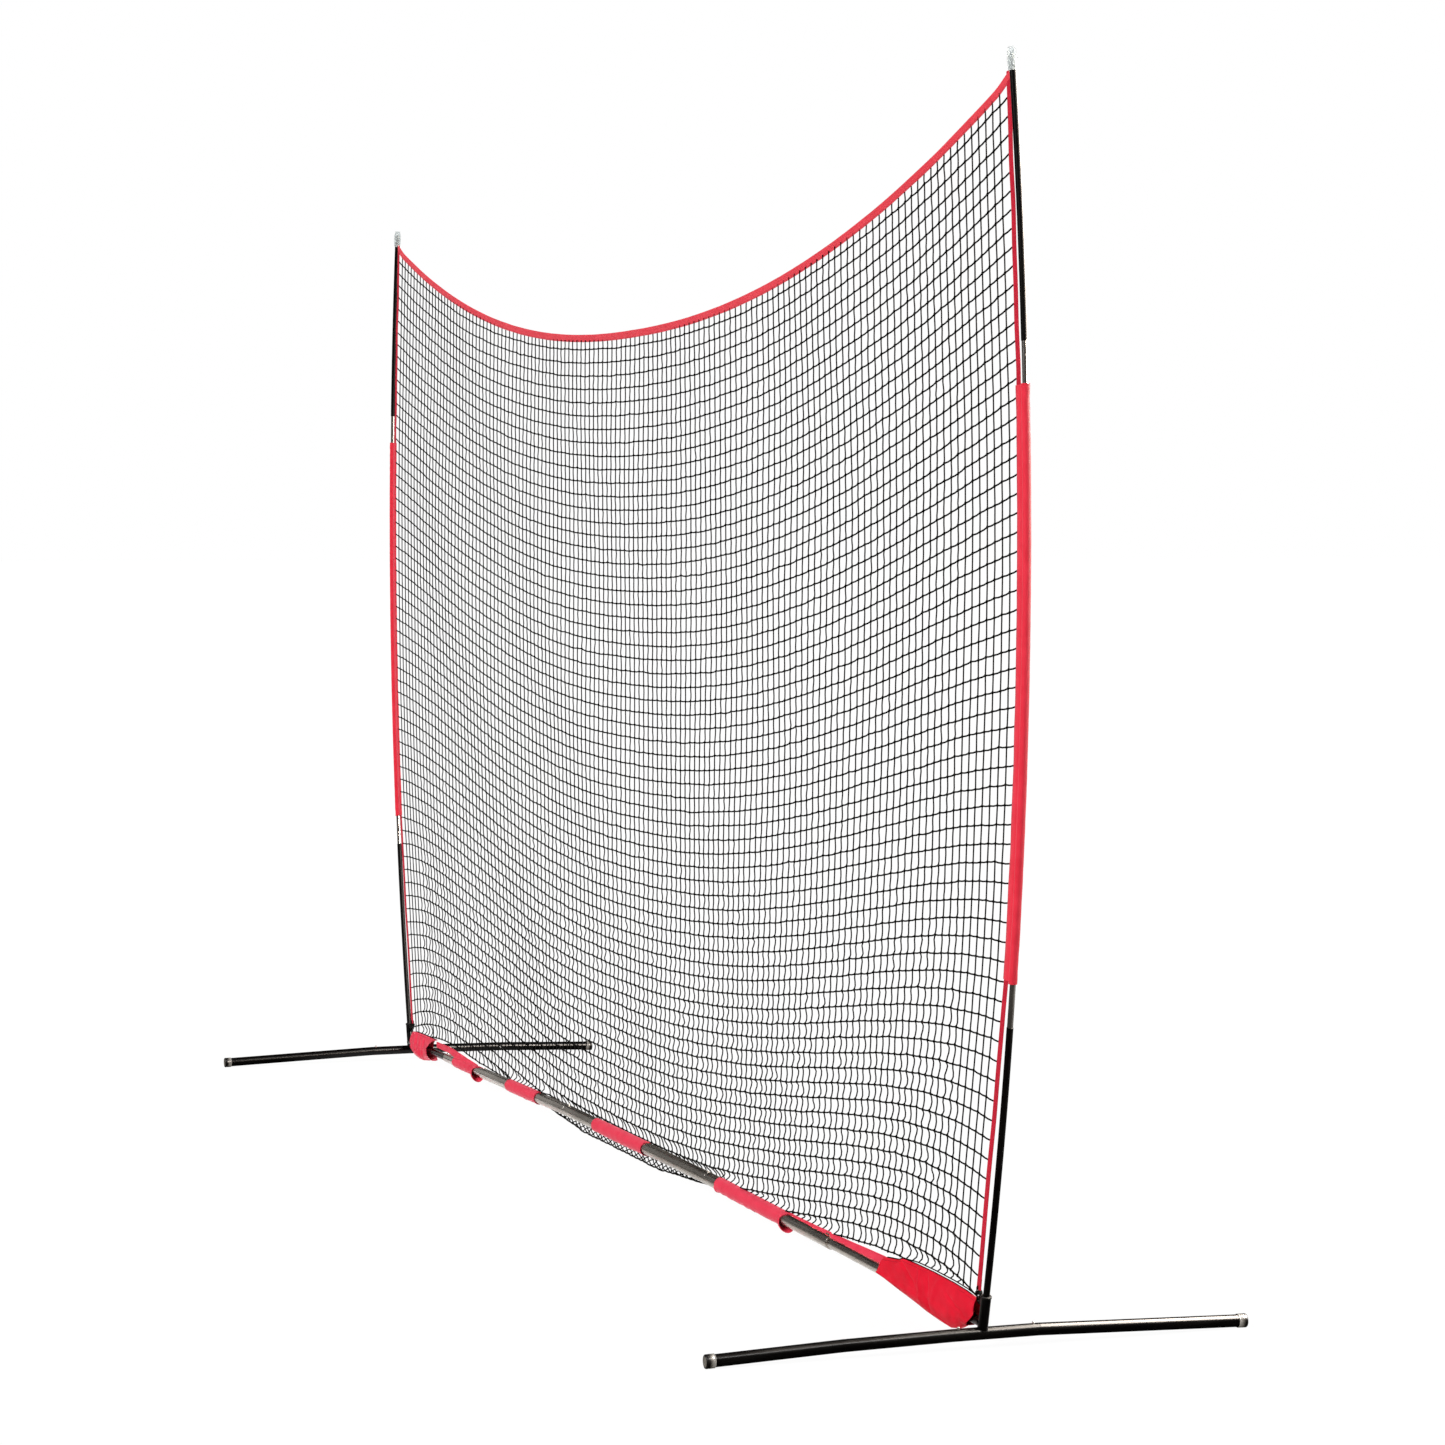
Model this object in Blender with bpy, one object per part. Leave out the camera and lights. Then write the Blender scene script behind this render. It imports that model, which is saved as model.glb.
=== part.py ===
# Portable barrier net. Two bowed poles stand in two cross feet, a jointed rail joins the feet,
# and a square-mesh net hangs between the poles on red webbing, pole sleeves and rail sleeves.
# Metres, +Z up, X along the net, Y along the feet. The origin is on the ground under the net's middle.

import math

import bmesh
import bpy
from mathutils import Matrix, Vector

# Clearances and sections
TOUCH = 0.0003            # gap between pieces that sit in or on each other
SIDES = 12                # sides of every round section, the same so that nested pieces stay parallel
BUTTON_SIDES = 10
SHARP_ANGLE = 35          # degrees: flatter edges are shaded smooth
OVERRUN = 0.010           # how far a cutter reaches past what it cuts
RING_GAP = 0.001          # least height between two rings of a pole
PASSES = 8                # rounds that settle the net's and the binding's ends against the webbing

# Feet
FOOT_RADIUS = 0.015875
FOOT_WALL = 0.0014
FOOT_REACH = 0.725        # middle of the foot to the end of its cap
FOOT_HEIGHT = 0.035       # tube's middle above the ground at the hub
FOOT_END_HEIGHT = 0.017   # tube's middle above the ground at the caps
SPLIT_HEIGHT = 0.0304     # tube's middle where the split leg is joined
HUB_SHORT_SIDE = 0.078    # hub tube's end on the side of the split leg
HUB_LONG_SIDE = 0.152     # hub tube's end on the side of the whole leg
SPLIT_JOINT = 0.367       # joint inside the split leg
CAP_RADIUS = 0.0177
CAP_LENGTH = 0.024
CAP_END_WALL = 0.003
CAP_CHAMFER = 0.0016

# Joints between tubes
SPIGOT_LENGTH = 0.041
BUTTON_SETBACK = 0.014    # snap button to the end of the outer tube
BUTTON_RADIUS = 0.0036
BUTTON_PROUD = 0.005
BUTTON_DOME = 0.002
BUTTON_DOME_TURNS = (66, 37, 0)   # degrees up the dome, from its top ring to its foot
LEAF_LENGTH = 0.026
LEAF_WIDTH = 0.009
LEAF_THICKNESS = 0.0016

# Rail: the arms are welded to the sockets, and the tubes bend a little at each joint
ARM_RADIUS = 0.0127
ARM_WALL = 0.0014
RAIL_OUTER_RADIUS = 0.015875
RAIL_RADIUS = 0.01905
RAIL_WALL = 0.0015
RAIL_END_HEIGHT = 0.062
ARM_JOINT = 2.231
ARM_JOINT_HEIGHT = 0.070
OUTER_JOINT = 1.724
OUTER_JOINT_HEIGHT = 0.078
CENTRE_JOINT = 0.714
CENTRE_JOINT_HEIGHT = 0.0915

# Poles: a parabola that is widest at BOW_HEIGHT and comes in by BOW_DEPTH at the ground
BOW_REACH = 3.003
BOW_HEIGHT = 1.95
BOW_DEPTH = 0.2597
POLE_RADIUS = 0.0085      # black sections
ROD_RADIUS = 0.0075       # silver rods
POLE_WALL = 0.0007
POLE_FOOT = 0.056
LOWER_RISE = 0.757        # height of each section, measured straight up
ROD_RISE = 0.906
UPPER_RISE = 0.646
ROD_LAP = 0.080           # how far a rod reaches into a black section
FERRULE_HALF = 0.050
PLUG_STEM = 0.040
PLUG_RISE = 0.042         # plug's head above the upper section
PLUG_ROUNDING = 0.0017
TIP_RISE = 0.057          # clear pocket's top above the upper section
TIP_ROUNDING = 0.0035
ROUNDING_HEIGHT = 0.004   # height of the rounded end of the plug and of the clear pocket
STATION_SPACING = 0.31    # most height between two rings of a pole

# Heights up the pole
LOWER_TOP = POLE_FOOT + LOWER_RISE
ROD_FOOT = LOWER_TOP - ROD_LAP
ROD_JOINT = ROD_FOOT + ROD_RISE
ROD_TOP = ROD_JOINT + ROD_RISE
UPPER_FOOT = ROD_TOP - ROD_LAP
UPPER_TOP = UPPER_FOOT + UPPER_RISE
PLUG_TOP = UPPER_TOP + PLUG_RISE
TIP_TOP = UPPER_TOP + TIP_RISE

# Sockets
SOCKET_RADIUS = 0.0127
SOCKET_BORE = 0.0112
SOCKET_TOP = 0.127
BUSH_FOOT = 0.085
BUSH_FLANGE_RADIUS = 0.0138
BUSH_FLANGE = 0.006
LUG_THICKNESS = 0.003
LUG_HALF_HEIGHT = 0.0105
LUG_HEIGHT = 0.1145
LUG_REACH = 0.009         # lug's end beyond the middle of its hole
LOOP_HOLE_RADIUS = 0.0033
LOOP_CORD_RADIUS = 0.002
LOOP_BEND = 0.0048

# Webbing, sleeves and binding
WEBBING_WIDTH = 0.025
WEBBING_THICKNESS = 0.002
WEBBING_FOOT = 0.139
WEBBING_SETBACK = 0.0485  # middle of the pole to the middle of the webbing's foot
WEBBING_HOLE_RISE = 0.010
WEBBING_HEAD = 0.0075     # webbing's head above the top of the pole's upper section
SLEEVE_RADIUS = 0.011
SLEEVE_FOOT = LOWER_TOP + 0.108   # beyond each end of the sleeve a stretch of the rod is bare
SLEEVE_TOP = UPPER_FOOT - 0.102
SLEEVE_FLAP = 0.0272      # middle of the pole to the edge of the sleeve's flat part
FLAP_THICKNESS = 0.003
BINDING_HEIGHT = 0.024
BINDING_THICKNESS = 0.004
BINDING_TOP = UPPER_TOP - 0.0235  # binding's ends, a little below the top of the upper section
BINDING_SAG = 0.4555      # how much lower it is halfway along the net
BINDING_POWER = 2.2
CAP_POCKET_HALF_WIDTH = 0.0125
CAP_POCKET_HALF_DEPTH = 0.0108

# Fabric on the rail
RAIL_SLEEVE_WALL = 0.0026
LEFT_WRAP = (-2.100, -1.800)
LEFT_SLEEVE = (-1.440, -0.980)
CENTRE_SLEEVE = (-0.390, 0.125)
RIGHT_SLEEVE = (0.810, 1.400)
TAPE_THICKNESS = 0.003
LEFT_TAPE_HEIGHT = 0.026
RIGHT_TAPE_HEIGHT = 0.020
POCKET_HALF_DEPTH = 0.0187
POCKET_WALL = 0.0022
POCKET_POWER = 4.0        # a rounded box: higher is squarer
POCKET_POINTS = 16
# x, lowest and highest point of each pocket
RIGHT_POCKET = ((2.105, 0.0535, 0.0990), (2.240, 0.0460, 0.1290), (2.420, 0.0240, 0.1300),
                (2.574, 0.0140, 0.1270), (2.660, 0.0350, 0.1210), (2.705, 0.0455, 0.1130))
LEFT_POCKET = ((-2.705, 0.0400, 0.1100), (-2.640, 0.0120, 0.1140), (-2.540, 0.0160, 0.1160),
               (-2.440, 0.0380, 0.1170), (-2.370, 0.0450, 0.1170))

# Net
NET_COLUMNS = 18
NET_ROWS = 11
STRAND_HALF = 0.003
STRAND_DEPTH = 0.004

FINISHES = {
    # name: colour, roughness, metallic
    "black coated steel": ((0.012, 0.012, 0.013), 0.35, 0.0),
    "silver steel tube": ((0.62, 0.63, 0.65), 0.28, 1.0),
    "button steel": ((0.75, 0.75, 0.76), 0.22, 1.0),
    "black pole": ((0.010, 0.010, 0.011), 0.40, 0.0),
    "black nylon": ((0.018, 0.018, 0.018), 0.55, 0.0),
    "grey plastic": ((0.36, 0.37, 0.38), 0.45, 0.0),
    "clear vinyl": ((0.85, 0.87, 0.88), 0.12, 0.0),
    "red webbing": ((0.72, 0.02, 0.06), 0.75, 0.0),
    "black netting": ((0.012, 0.012, 0.013), 0.85, 0.0),
}


def clear_scene():
    for obj in list(bpy.data.objects):
        bpy.data.objects.remove(obj)
    for mesh in list(bpy.data.meshes):
        bpy.data.meshes.remove(mesh)


def finish(name):
    """The material of that name, made the first time it is asked for."""
    if name in bpy.data.materials:
        return bpy.data.materials[name]
    colour, roughness, metallic = FINISHES[name]
    material = bpy.data.materials.new(name)
    material.use_nodes = True
    shader = material.node_tree.nodes["Principled BSDF"]
    shader.inputs["Base Color"].default_value = (*colour, 1.0)
    shader.inputs["Roughness"].default_value = roughness
    shader.inputs["Metallic"].default_value = metallic
    material.diffuse_color = (*colour, 1.0)
    return material


def loft(name, rings, ring_of_rings=False):
    """A skin over rings with equally many points. It closes on itself, or each end gets a face."""
    skin = bmesh.new()
    rows = [[skin.verts.new(point) for point in ring] for ring in rings]
    pairs = list(zip(rows, rows[1:]))
    if ring_of_rings:
        pairs.append((rows[-1], rows[0]))
    else:
        skin.faces.new(rows[0])
        skin.faces.new(rows[-1])
    for first, second in pairs:
        for here in range(len(first)):
            there = (here + 1) % len(first)
            skin.faces.new((first[here], first[there], second[there], second[here]))
    bmesh.ops.recalc_face_normals(skin, faces=skin.faces)
    mesh = bpy.data.meshes.new(name)
    skin.to_mesh(mesh)
    skin.free()
    mesh.shade_smooth()
    mesh.set_sharp_from_angle(angle=math.radians(SHARP_ANGLE))
    return mesh


def section(frame, radius, depth=None, sides=SIDES):
    """A round or oval section in a frame of a middle and two directions."""
    middle, across, up = frame
    depth = radius if depth is None else depth
    turns = [2 * math.pi * step / sides for step in range(sides)]
    return [middle + across * (radius * math.cos(a)) + up * (depth * math.sin(a)) for a in turns]


def tube(name, path, outside, inside):
    """A bored tube. Both profiles are (station, radius) pairs, in order along the path."""
    rings = [section(path(station), radius) for station, radius in outside]
    rings += [section(path(station), radius) for station, radius in reversed(inside)]
    return loft(name, rings, ring_of_rings=True)


def turned(name, path, profile):
    """A piece with closed ends, whose profile may run back into a blind bore."""
    return loft(name, [section(path(station), radius) for station, radius in profile])


def add(name, mesh, material, parent=None, location=(0, 0, 0), rotation=None):
    obj = bpy.data.objects.new(name, mesh)
    bpy.context.scene.collection.objects.link(obj)
    if not mesh.materials:
        mesh.materials.append(finish(material))
    obj.parent = parent
    obj.location = location
    if rotation is not None:
        obj.rotation_euler = rotation
    return obj


def add_guide(name, mesh, parent=None, location=(0, 0, 0), rotation=None):
    """A cutter or another helper, which isn't a piece of the object."""
    guide = add(name, mesh, "black nylon", parent, location, rotation)
    guide.hide_render = True
    guide.display_type = "WIRE"
    return guide


def combine(obj, other, operation):
    modifier = obj.modifiers.new(f"{operation.lower()} {other.name}", "BOOLEAN")
    modifier.operation = operation
    modifier.solver = "EXACT"
    modifier.object = other


def box(name, low, high):
    rings = [[Vector((x, y, z)) for x, y in ((low[0], low[1]), (high[0], low[1]),
                                            (high[0], high[1]), (low[0], high[1]))]
             for z in (low[2], high[2])]
    return loft(name, rings)


def aimed(along, outward):
    """Rotation that turns X to the tube's direction and Z outward."""
    along = Vector(along)
    outward = Vector(outward)
    return Matrix((along, outward.cross(along), outward)).transposed().to_euler()


def between(points, place):
    """Straight-line interpolation in a list of (place, value) pairs in rising order."""
    for (low, low_value), (high, high_value) in zip(points, points[1:]):
        if place <= high:
            share = (place - low) / (high - low)
            return low_value + (high_value - low_value) * share
    return points[-1][1]


# Paths: each gives a middle and two directions for a section


FOOT_LINE = ((-FOOT_REACH, FOOT_END_HEIGHT), (-SPLIT_JOINT, SPLIT_HEIGHT), (-HUB_SHORT_SIDE, FOOT_HEIGHT),
             (HUB_LONG_SIDE, FOOT_HEIGHT), (FOOT_REACH, FOOT_END_HEIGHT))


def pole_x(height):
    return BOW_REACH - BOW_DEPTH * (height / BOW_HEIGHT - 1) ** 2


HUB_X = pole_x(FOOT_HEIGHT)
WEBBING_FOOT_X = pole_x(WEBBING_FOOT) - WEBBING_SETBACK
RAIL_LINE = ((0.0, CENTRE_JOINT_HEIGHT), (CENTRE_JOINT, CENTRE_JOINT_HEIGHT),
             (OUTER_JOINT, OUTER_JOINT_HEIGHT), (ARM_JOINT, ARM_JOINT_HEIGHT), (HUB_X, RAIL_END_HEIGHT))


def foot_path(y):
    return Vector((HUB_X, y, between(FOOT_LINE, y))), Vector((1, 0, 0)), Vector((0, 0, 1))


def rail_z(x):
    return between(RAIL_LINE, abs(x))


def rail_path(x):
    return Vector((x, 0, rail_z(x))), Vector((0, 1, 0)), Vector((0, 0, 1))


def pole_path(height):
    slope = -2 * BOW_DEPTH / BOW_HEIGHT * (height / BOW_HEIGHT - 1)
    outward = Vector((1, 0, -slope)).normalized()
    return Vector((pole_x(height), 0, height)), outward, Vector((0, 1, 0))


def tip_path(height):
    """The pole's last stretch, straight on from the top of the upper section."""
    middle, outward, across = pole_path(UPPER_TOP)
    up = across.cross(outward) * -1
    return middle + up * ((height - UPPER_TOP) / up.z), outward, across


def pole_stations():
    """Heights of the rings that all pole pieces share, so that nested pieces bend alike."""
    ends = sorted({POLE_FOOT, BUSH_FOOT, SOCKET_TOP, SOCKET_TOP + TOUCH + BUSH_FLANGE, ROD_FOOT, LOWER_TOP,
                   SLEEVE_FOOT, ROD_JOINT - FERRULE_HALF, ROD_JOINT, ROD_JOINT + FERRULE_HALF,
                   SLEEVE_TOP, UPPER_FOOT, ROD_TOP, UPPER_TOP - PLUG_STEM, UPPER_TOP})
    stations = []
    for low, high in zip(ends, ends[1:]):
        steps = math.ceil((high - low) / STATION_SPACING)
        stations += [low + (high - low) * step / steps for step in range(steps)]
    return stations + [ends[-1]]


STATIONS = pole_stations()


def span(low, high, radius):
    """The shared stations from low to high, at one radius."""
    inner = [station for station in STATIONS if low + RING_GAP < station < high - RING_GAP]
    return [(station, radius) for station in [low, *inner, high]]


# Feet


def spigot(seam, direction, outer_radius, bore_radius):
    """Profile of a male end that reaches past the seam into a bore: (station, radius) pairs."""
    tip = seam + direction * SPIGOT_LENGTH
    radius = bore_radius - TOUCH
    return [(tip, radius), (seam - direction * TOUCH, radius), (seam - direction * TOUCH, outer_radius)]


def leg(name, seam, end):
    """A leg whose male end sits in the tube before it. Its other end takes a spigot or a cap."""
    away = 1 if end > seam else -1
    bore = FOOT_RADIUS - FOOT_WALL
    outside = spigot(seam, -away, FOOT_RADIUS, bore)
    tip = outside[0][0]
    outside.append((end, FOOT_RADIUS))
    neck = bore - TOUCH - FOOT_WALL
    step = seam + away * FOOT_WALL * 2
    inside = [(tip, neck), (step, neck), (step + away * FOOT_WALL, bore), (end, bore)]
    return tube(name, foot_path, outside, inside)


def cap(name, side):
    """A deep cap over the leg's end, with a blind bore."""
    end = side * FOOT_REACH
    mouth = side * (FOOT_REACH - CAP_LENGTH)
    bore_end = side * (FOOT_REACH - CAP_END_WALL)
    bore = FOOT_RADIUS + TOUCH
    return turned(name, foot_path, [(end, CAP_RADIUS - CAP_CHAMFER), (end - side * CAP_CHAMFER, CAP_RADIUS),
                                    (mouth, CAP_RADIUS), (mouth, bore), (bore_end, bore)])


def button(name, tube_radius, spigot_bore):
    """A snap button on its spring leaf. Its origin is on the tube's middle line and Z points outward."""
    leaf_top = spigot_bore * math.cos(2 * math.pi / SIDES) - TOUCH
    dome_foot = tube_radius + BUTTON_PROUD - BUTTON_DOME
    dome_turns = [math.radians(turn) for turn in BUTTON_DOME_TURNS]
    profile = [(BUTTON_RADIUS * math.cos(a), dome_foot + BUTTON_DOME * math.sin(a)) for a in dome_turns]
    profile.append((BUTTON_RADIUS, leaf_top))
    rings = [[Vector((radius * math.cos(a), radius * math.sin(a), z)) for a in button_turns()]
             for radius, z in profile]
    for z in (leaf_top, leaf_top - LEAF_THICKNESS):
        rings.append([Vector((LEAF_LENGTH / 2 * math.cos(a), LEAF_WIDTH / 2 * math.sin(a), z))
                      for a in button_turns()])
    return loft(name, rings)


def button_hole(name, tube_radius):
    """The cutter for one button's hole, from the tube's middle line to beyond the outer tube."""
    radius = BUTTON_RADIUS + TOUCH
    return loft(name, [[Vector((radius * math.cos(a), radius * math.sin(a), z)) for a in button_turns()]
                       for z in (0, tube_radius + BUTTON_PROUD)])


def button_turns():
    return [2 * math.pi * step / BUTTON_SIDES for step in range(BUTTON_SIDES)]


def fit_button(place, tube_radius, spigot_bore, parent, location, rotation, outer, inner):
    """A button at one joint, and its hole through the outer tube and the spigot inside it."""
    mesh = shared(f"button_{tube_radius}_{spigot_bore}", button, tube_radius, spigot_bore)
    add(f"button_{place}", mesh, "button steel", parent, location, rotation)
    hole = shared(f"hole_{tube_radius}", button_hole, tube_radius)
    cutter = add_guide(f"cut_button_{place}", hole, parent, location, rotation)
    combine(outer, cutter, "DIFFERENCE")
    combine(inner, cutter, "DIFFERENCE")


def shared(name, make, *values):
    """A mesh that several pieces use, made once."""
    return bpy.data.meshes.get(name) or make(name, *values)


def webbing_hole():
    """Middle of the hole in the side webbing's foot."""
    return WEBBING_FOOT_X, WEBBING_FOOT + WEBBING_HOLE_RISE


def hub(suffix, parent):
    """Hub tube, leaning pole socket, rail arm and lug, welded into one piece."""
    bore = FOOT_RADIUS - FOOT_WALL
    body = turned(f"foot_hub_{suffix}", foot_path,
                  [(-HUB_SHORT_SIDE, FOOT_RADIUS), (HUB_LONG_SIDE, FOOT_RADIUS)])
    obj = add(f"foot_hub_{suffix}", body, "black coated steel", parent)
    socket = turned("socket outside", pole_path, [(FOOT_HEIGHT, SOCKET_RADIUS), (SOCKET_TOP, SOCKET_RADIUS)])
    arm_bore = RAIL_OUTER_RADIUS - FOOT_WALL
    arm_spigot = spigot(ARM_JOINT, -1, ARM_RADIUS, arm_bore)
    arm = turned("arm outside", rail_path, [*arm_spigot, (HUB_X, ARM_RADIUS)])
    lug = box("lug", (WEBBING_FOOT_X - LUG_REACH, -LUG_THICKNESS / 2, LUG_HEIGHT - LUG_HALF_HEIGHT),
              (pole_x(LUG_HEIGHT), LUG_THICKNESS / 2, LUG_HEIGHT + LUG_HALF_HEIGHT))
    for mesh in (socket, arm, lug):
        combine(obj, add_guide(f"join_{mesh.name}_{suffix}", mesh, parent), "UNION")
    hub_bore = turned("hub bore", foot_path,
                      [(-HUB_SHORT_SIDE - OVERRUN, bore), (HUB_LONG_SIDE + OVERRUN, bore)])
    socket_bore = turned("socket bore", pole_path,
                         [(POLE_FOOT - TOUCH, SOCKET_BORE), (SOCKET_TOP, SOCKET_BORE),
                          (SOCKET_TOP + OVERRUN, SOCKET_BORE)])
    spigot_bore = arm_bore - TOUCH - ARM_WALL
    tube_bore = ARM_RADIUS - ARM_WALL
    arm_tip = arm_spigot[0][0]
    arm_inside = turned("arm bore", rail_path,
                        [(arm_tip - OVERRUN, spigot_bore), (ARM_JOINT - TOUCH, spigot_bore),
                         (ARM_JOINT + 2 * ARM_WALL, tube_bore), (HUB_X - 2 * SOCKET_RADIUS, tube_bore)])
    lug_hole = turned("lug hole", lambda y: (Vector((WEBBING_FOOT_X, y, LUG_HEIGHT)), Vector((1, 0, 0)),
                                             Vector((0, 0, 1))),
                      [(-LUG_THICKNESS, LOOP_HOLE_RADIUS), (LUG_THICKNESS, LOOP_HOLE_RADIUS)])
    for mesh in (hub_bore, socket_bore, arm_inside, lug_hole):
        combine(obj, add_guide(f"cut_{mesh.name}_{suffix}", mesh, parent), "DIFFERENCE")
    return obj


def foot(suffix, parent):
    hub_piece = hub(suffix, parent)
    cap_seat = FOOT_REACH - CAP_END_WALL - TOUCH
    legs = (("split_leg_inner", -HUB_SHORT_SIDE, -SPLIT_JOINT), ("split_leg_outer", -SPLIT_JOINT, -cap_seat),
            ("whole_leg", HUB_LONG_SIDE, cap_seat))
    made = {}
    for name, seam, end in legs:
        mesh = shared(name, leg, seam, end)
        made[name] = add(f"{name}_{suffix}", mesh, "black coated steel", parent)
    ground_half = CAP_RADIUS + OVERRUN
    ground = shared("ground", box, (HUB_X - ground_half, -FOOT_REACH - OVERRUN, -ground_half),
                    (HUB_X + ground_half, FOOT_REACH + OVERRUN, 0.0))
    ground_cutter = add_guide(f"cut_ground_{suffix}", ground, parent)
    for name, side in (("split_leg_cap", -1), ("whole_leg_cap", 1)):
        mesh = shared(name, cap, side)
        combine(add(f"{name}_{suffix}", mesh, "grey plastic", parent), ground_cutter, "DIFFERENCE")
    spigot_bore = FOOT_RADIUS - 2 * FOOT_WALL - TOUCH
    up = (0, 0, 1)
    inward = (-1, 0, 0)
    along = (0, 1, 0)
    joints = (("hub_split", -HUB_SHORT_SIDE + BUTTON_SETBACK, up, hub_piece, made["split_leg_inner"]),
              ("hub_whole", HUB_LONG_SIDE - BUTTON_SETBACK, up, hub_piece, made["whole_leg"]),
              ("split_leg", -SPLIT_JOINT + BUTTON_SETBACK, inward, made["split_leg_inner"],
               made["split_leg_outer"]))
    for name, y, outward, outer, inner in joints:
        fit_button(f"{name}_{suffix}", FOOT_RADIUS, spigot_bore, parent, foot_path(y)[0],
                   aimed(along, outward), outer, inner)
    return hub_piece


# Poles


def pole(suffix, parent):
    bore = ROD_RADIUS + TOUCH
    rod_bore = ROD_RADIUS - POLE_WALL
    pieces = (
        ("pole_lower", "black pole", POLE_FOOT, LOWER_TOP, POLE_RADIUS, bore),
        ("pole_rod_lower", "silver steel tube", ROD_FOOT, ROD_JOINT - TOUCH / 2, ROD_RADIUS, rod_bore),
        ("pole_rod_upper", "silver steel tube", ROD_JOINT + TOUCH / 2, ROD_TOP, ROD_RADIUS, rod_bore),
        ("pole_ferrule", "silver steel tube", ROD_JOINT - FERRULE_HALF, ROD_JOINT + FERRULE_HALF,
         rod_bore - TOUCH, rod_bore - TOUCH - POLE_WALL),
        ("pole_upper", "black pole", UPPER_FOOT, UPPER_TOP, POLE_RADIUS, bore),
    )
    for name, material, low, high, outer, inner in pieces:
        mesh = shared(name, tube, pole_path, span(low, high, outer), span(low, high, inner))
        add(f"{name}_{suffix}", mesh, material, parent)
    seat = SOCKET_TOP + TOUCH
    bush_radius = SOCKET_BORE - TOUCH
    bush_outside = [(BUSH_FOOT, bush_radius), (SOCKET_TOP, bush_radius), (seat, bush_radius),
                    (seat, BUSH_FLANGE_RADIUS), (seat + BUSH_FLANGE, BUSH_FLANGE_RADIUS)]
    bush_inside = span(BUSH_FOOT, seat + BUSH_FLANGE, POLE_RADIUS + TOUCH)
    mesh = shared("socket_bush", tube, pole_path, bush_outside, bush_inside)
    add(f"socket_bush_{suffix}", mesh, "black nylon", parent)
    plug_profile = [(UPPER_TOP - PLUG_STEM, ROD_RADIUS - TOUCH), (UPPER_TOP + TOUCH, ROD_RADIUS - TOUCH),
                    (UPPER_TOP + TOUCH, POLE_RADIUS), (PLUG_TOP - ROUNDING_HEIGHT, POLE_RADIUS),
                    (PLUG_TOP, POLE_RADIUS - PLUG_ROUNDING)]
    mesh = shared("pole_tip_plug", turned, tip_path, plug_profile)
    add(f"pole_tip_plug_{suffix}", mesh, "grey plastic", parent)
    mesh = shared("tip_pocket", tip_pocket)
    add(f"tip_pocket_{suffix}", mesh, "clear vinyl", parent)
    mesh = shared("pole_sleeve", pole_sleeve)
    add(f"pole_sleeve_{suffix}", mesh, "red webbing", parent)


def tip_pocket(name):
    """A flattened cap of clear sheet over the pole's tip, with a blind bore from below."""
    mouth = UPPER_TOP + 2 * TOUCH
    outside = ((TIP_TOP, TIP_ROUNDING), (TIP_TOP - ROUNDING_HEIGHT, 0), (mouth, 0))
    rings = [section(tip_path(height), CAP_POCKET_HALF_WIDTH - less, CAP_POCKET_HALF_DEPTH - less)
             for height, less in outside]
    bore = POLE_RADIUS + TOUCH
    rings.append(section(tip_path(mouth), bore))
    rings.append(section(tip_path(PLUG_TOP + TOUCH), bore))
    return loft(name, rings)


def pole_sleeve(name):
    """A sewn sleeve round the rod, with a flat double flap toward the net."""
    bore = ROD_RADIUS + TOUCH
    half = FLAP_THICKNESS / 2
    outside = [(SLEEVE_RADIUS * math.cos(math.radians(a)), SLEEVE_RADIUS * math.sin(math.radians(a)))
               for a in (0, 30, 60, 90, 120)]
    flap = [(-SLEEVE_RADIUS, half), (-SLEEVE_FLAP, half)]
    outside += flap + [(x, -y) for x, y in reversed(flap)] + [(x, -y) for x, y in reversed(outside[1:])]
    turns = (0, 30, 60, 90, 120, 150, 172, 188, 210, 240, 270, 300, 330)
    inside = [(bore * math.cos(math.radians(a)), bore * math.sin(math.radians(a))) for a in turns]
    rings = []
    stations = [station for station, radius in span(SLEEVE_FOOT, SLEEVE_TOP, bore)]
    for outline, heights in ((outside, stations), (inside, reversed(stations))):
        for height in heights:
            middle, outward, across = pole_path(height)
            rings.append([middle + outward * x + across * y for x, y in outline])
    return loft(name, rings, ring_of_rings=True)


# Webbing, binding and net


def webbing_line():
    """Rings of the side webbing: middle point and the direction across it, from foot to head."""
    line = [(Vector((WEBBING_FOOT_X, 0, WEBBING_FOOT)), Vector((1, 0, 0)))]
    offset = SLEEVE_FLAP + TOUCH + WEBBING_WIDTH / 2
    for station, radius in span(SLEEVE_FOOT, SLEEVE_TOP, 0):
        middle, outward, across = pole_path(station)
        line.append((middle - outward * offset, outward))
    middle, outward, across = tip_path(UPPER_TOP + WEBBING_HEAD)
    line.append((middle - outward * (CAP_POCKET_HALF_WIDTH + TOUCH + WEBBING_WIDTH / 2), outward))
    return line


def webbing(name):
    half = WEBBING_WIDTH / 2
    deep = Vector((0, WEBBING_THICKNESS / 2, 0))
    corners = ((-half, -1), (half, -1), (half, 1), (-half, 1))
    rings = [[middle + across * x + deep * side for x, side in corners] for middle, across in webbing_line()]
    return loft(name, rings)


def webbing_edge():
    """The webbing's inner edge, as (height, x) pairs from foot to head."""
    edges = [middle - across * (WEBBING_WIDTH / 2) for middle, across in webbing_line()]
    return [(edge.z, edge.x) for edge in edges]


WEBBING_EDGE = webbing_edge()


def webbing_inside(height):
    """Half of the distance between the inner edges of the two side webbings."""
    return between(WEBBING_EDGE, height)


BINDING_SPAN = webbing_inside(BINDING_TOP)


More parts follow.
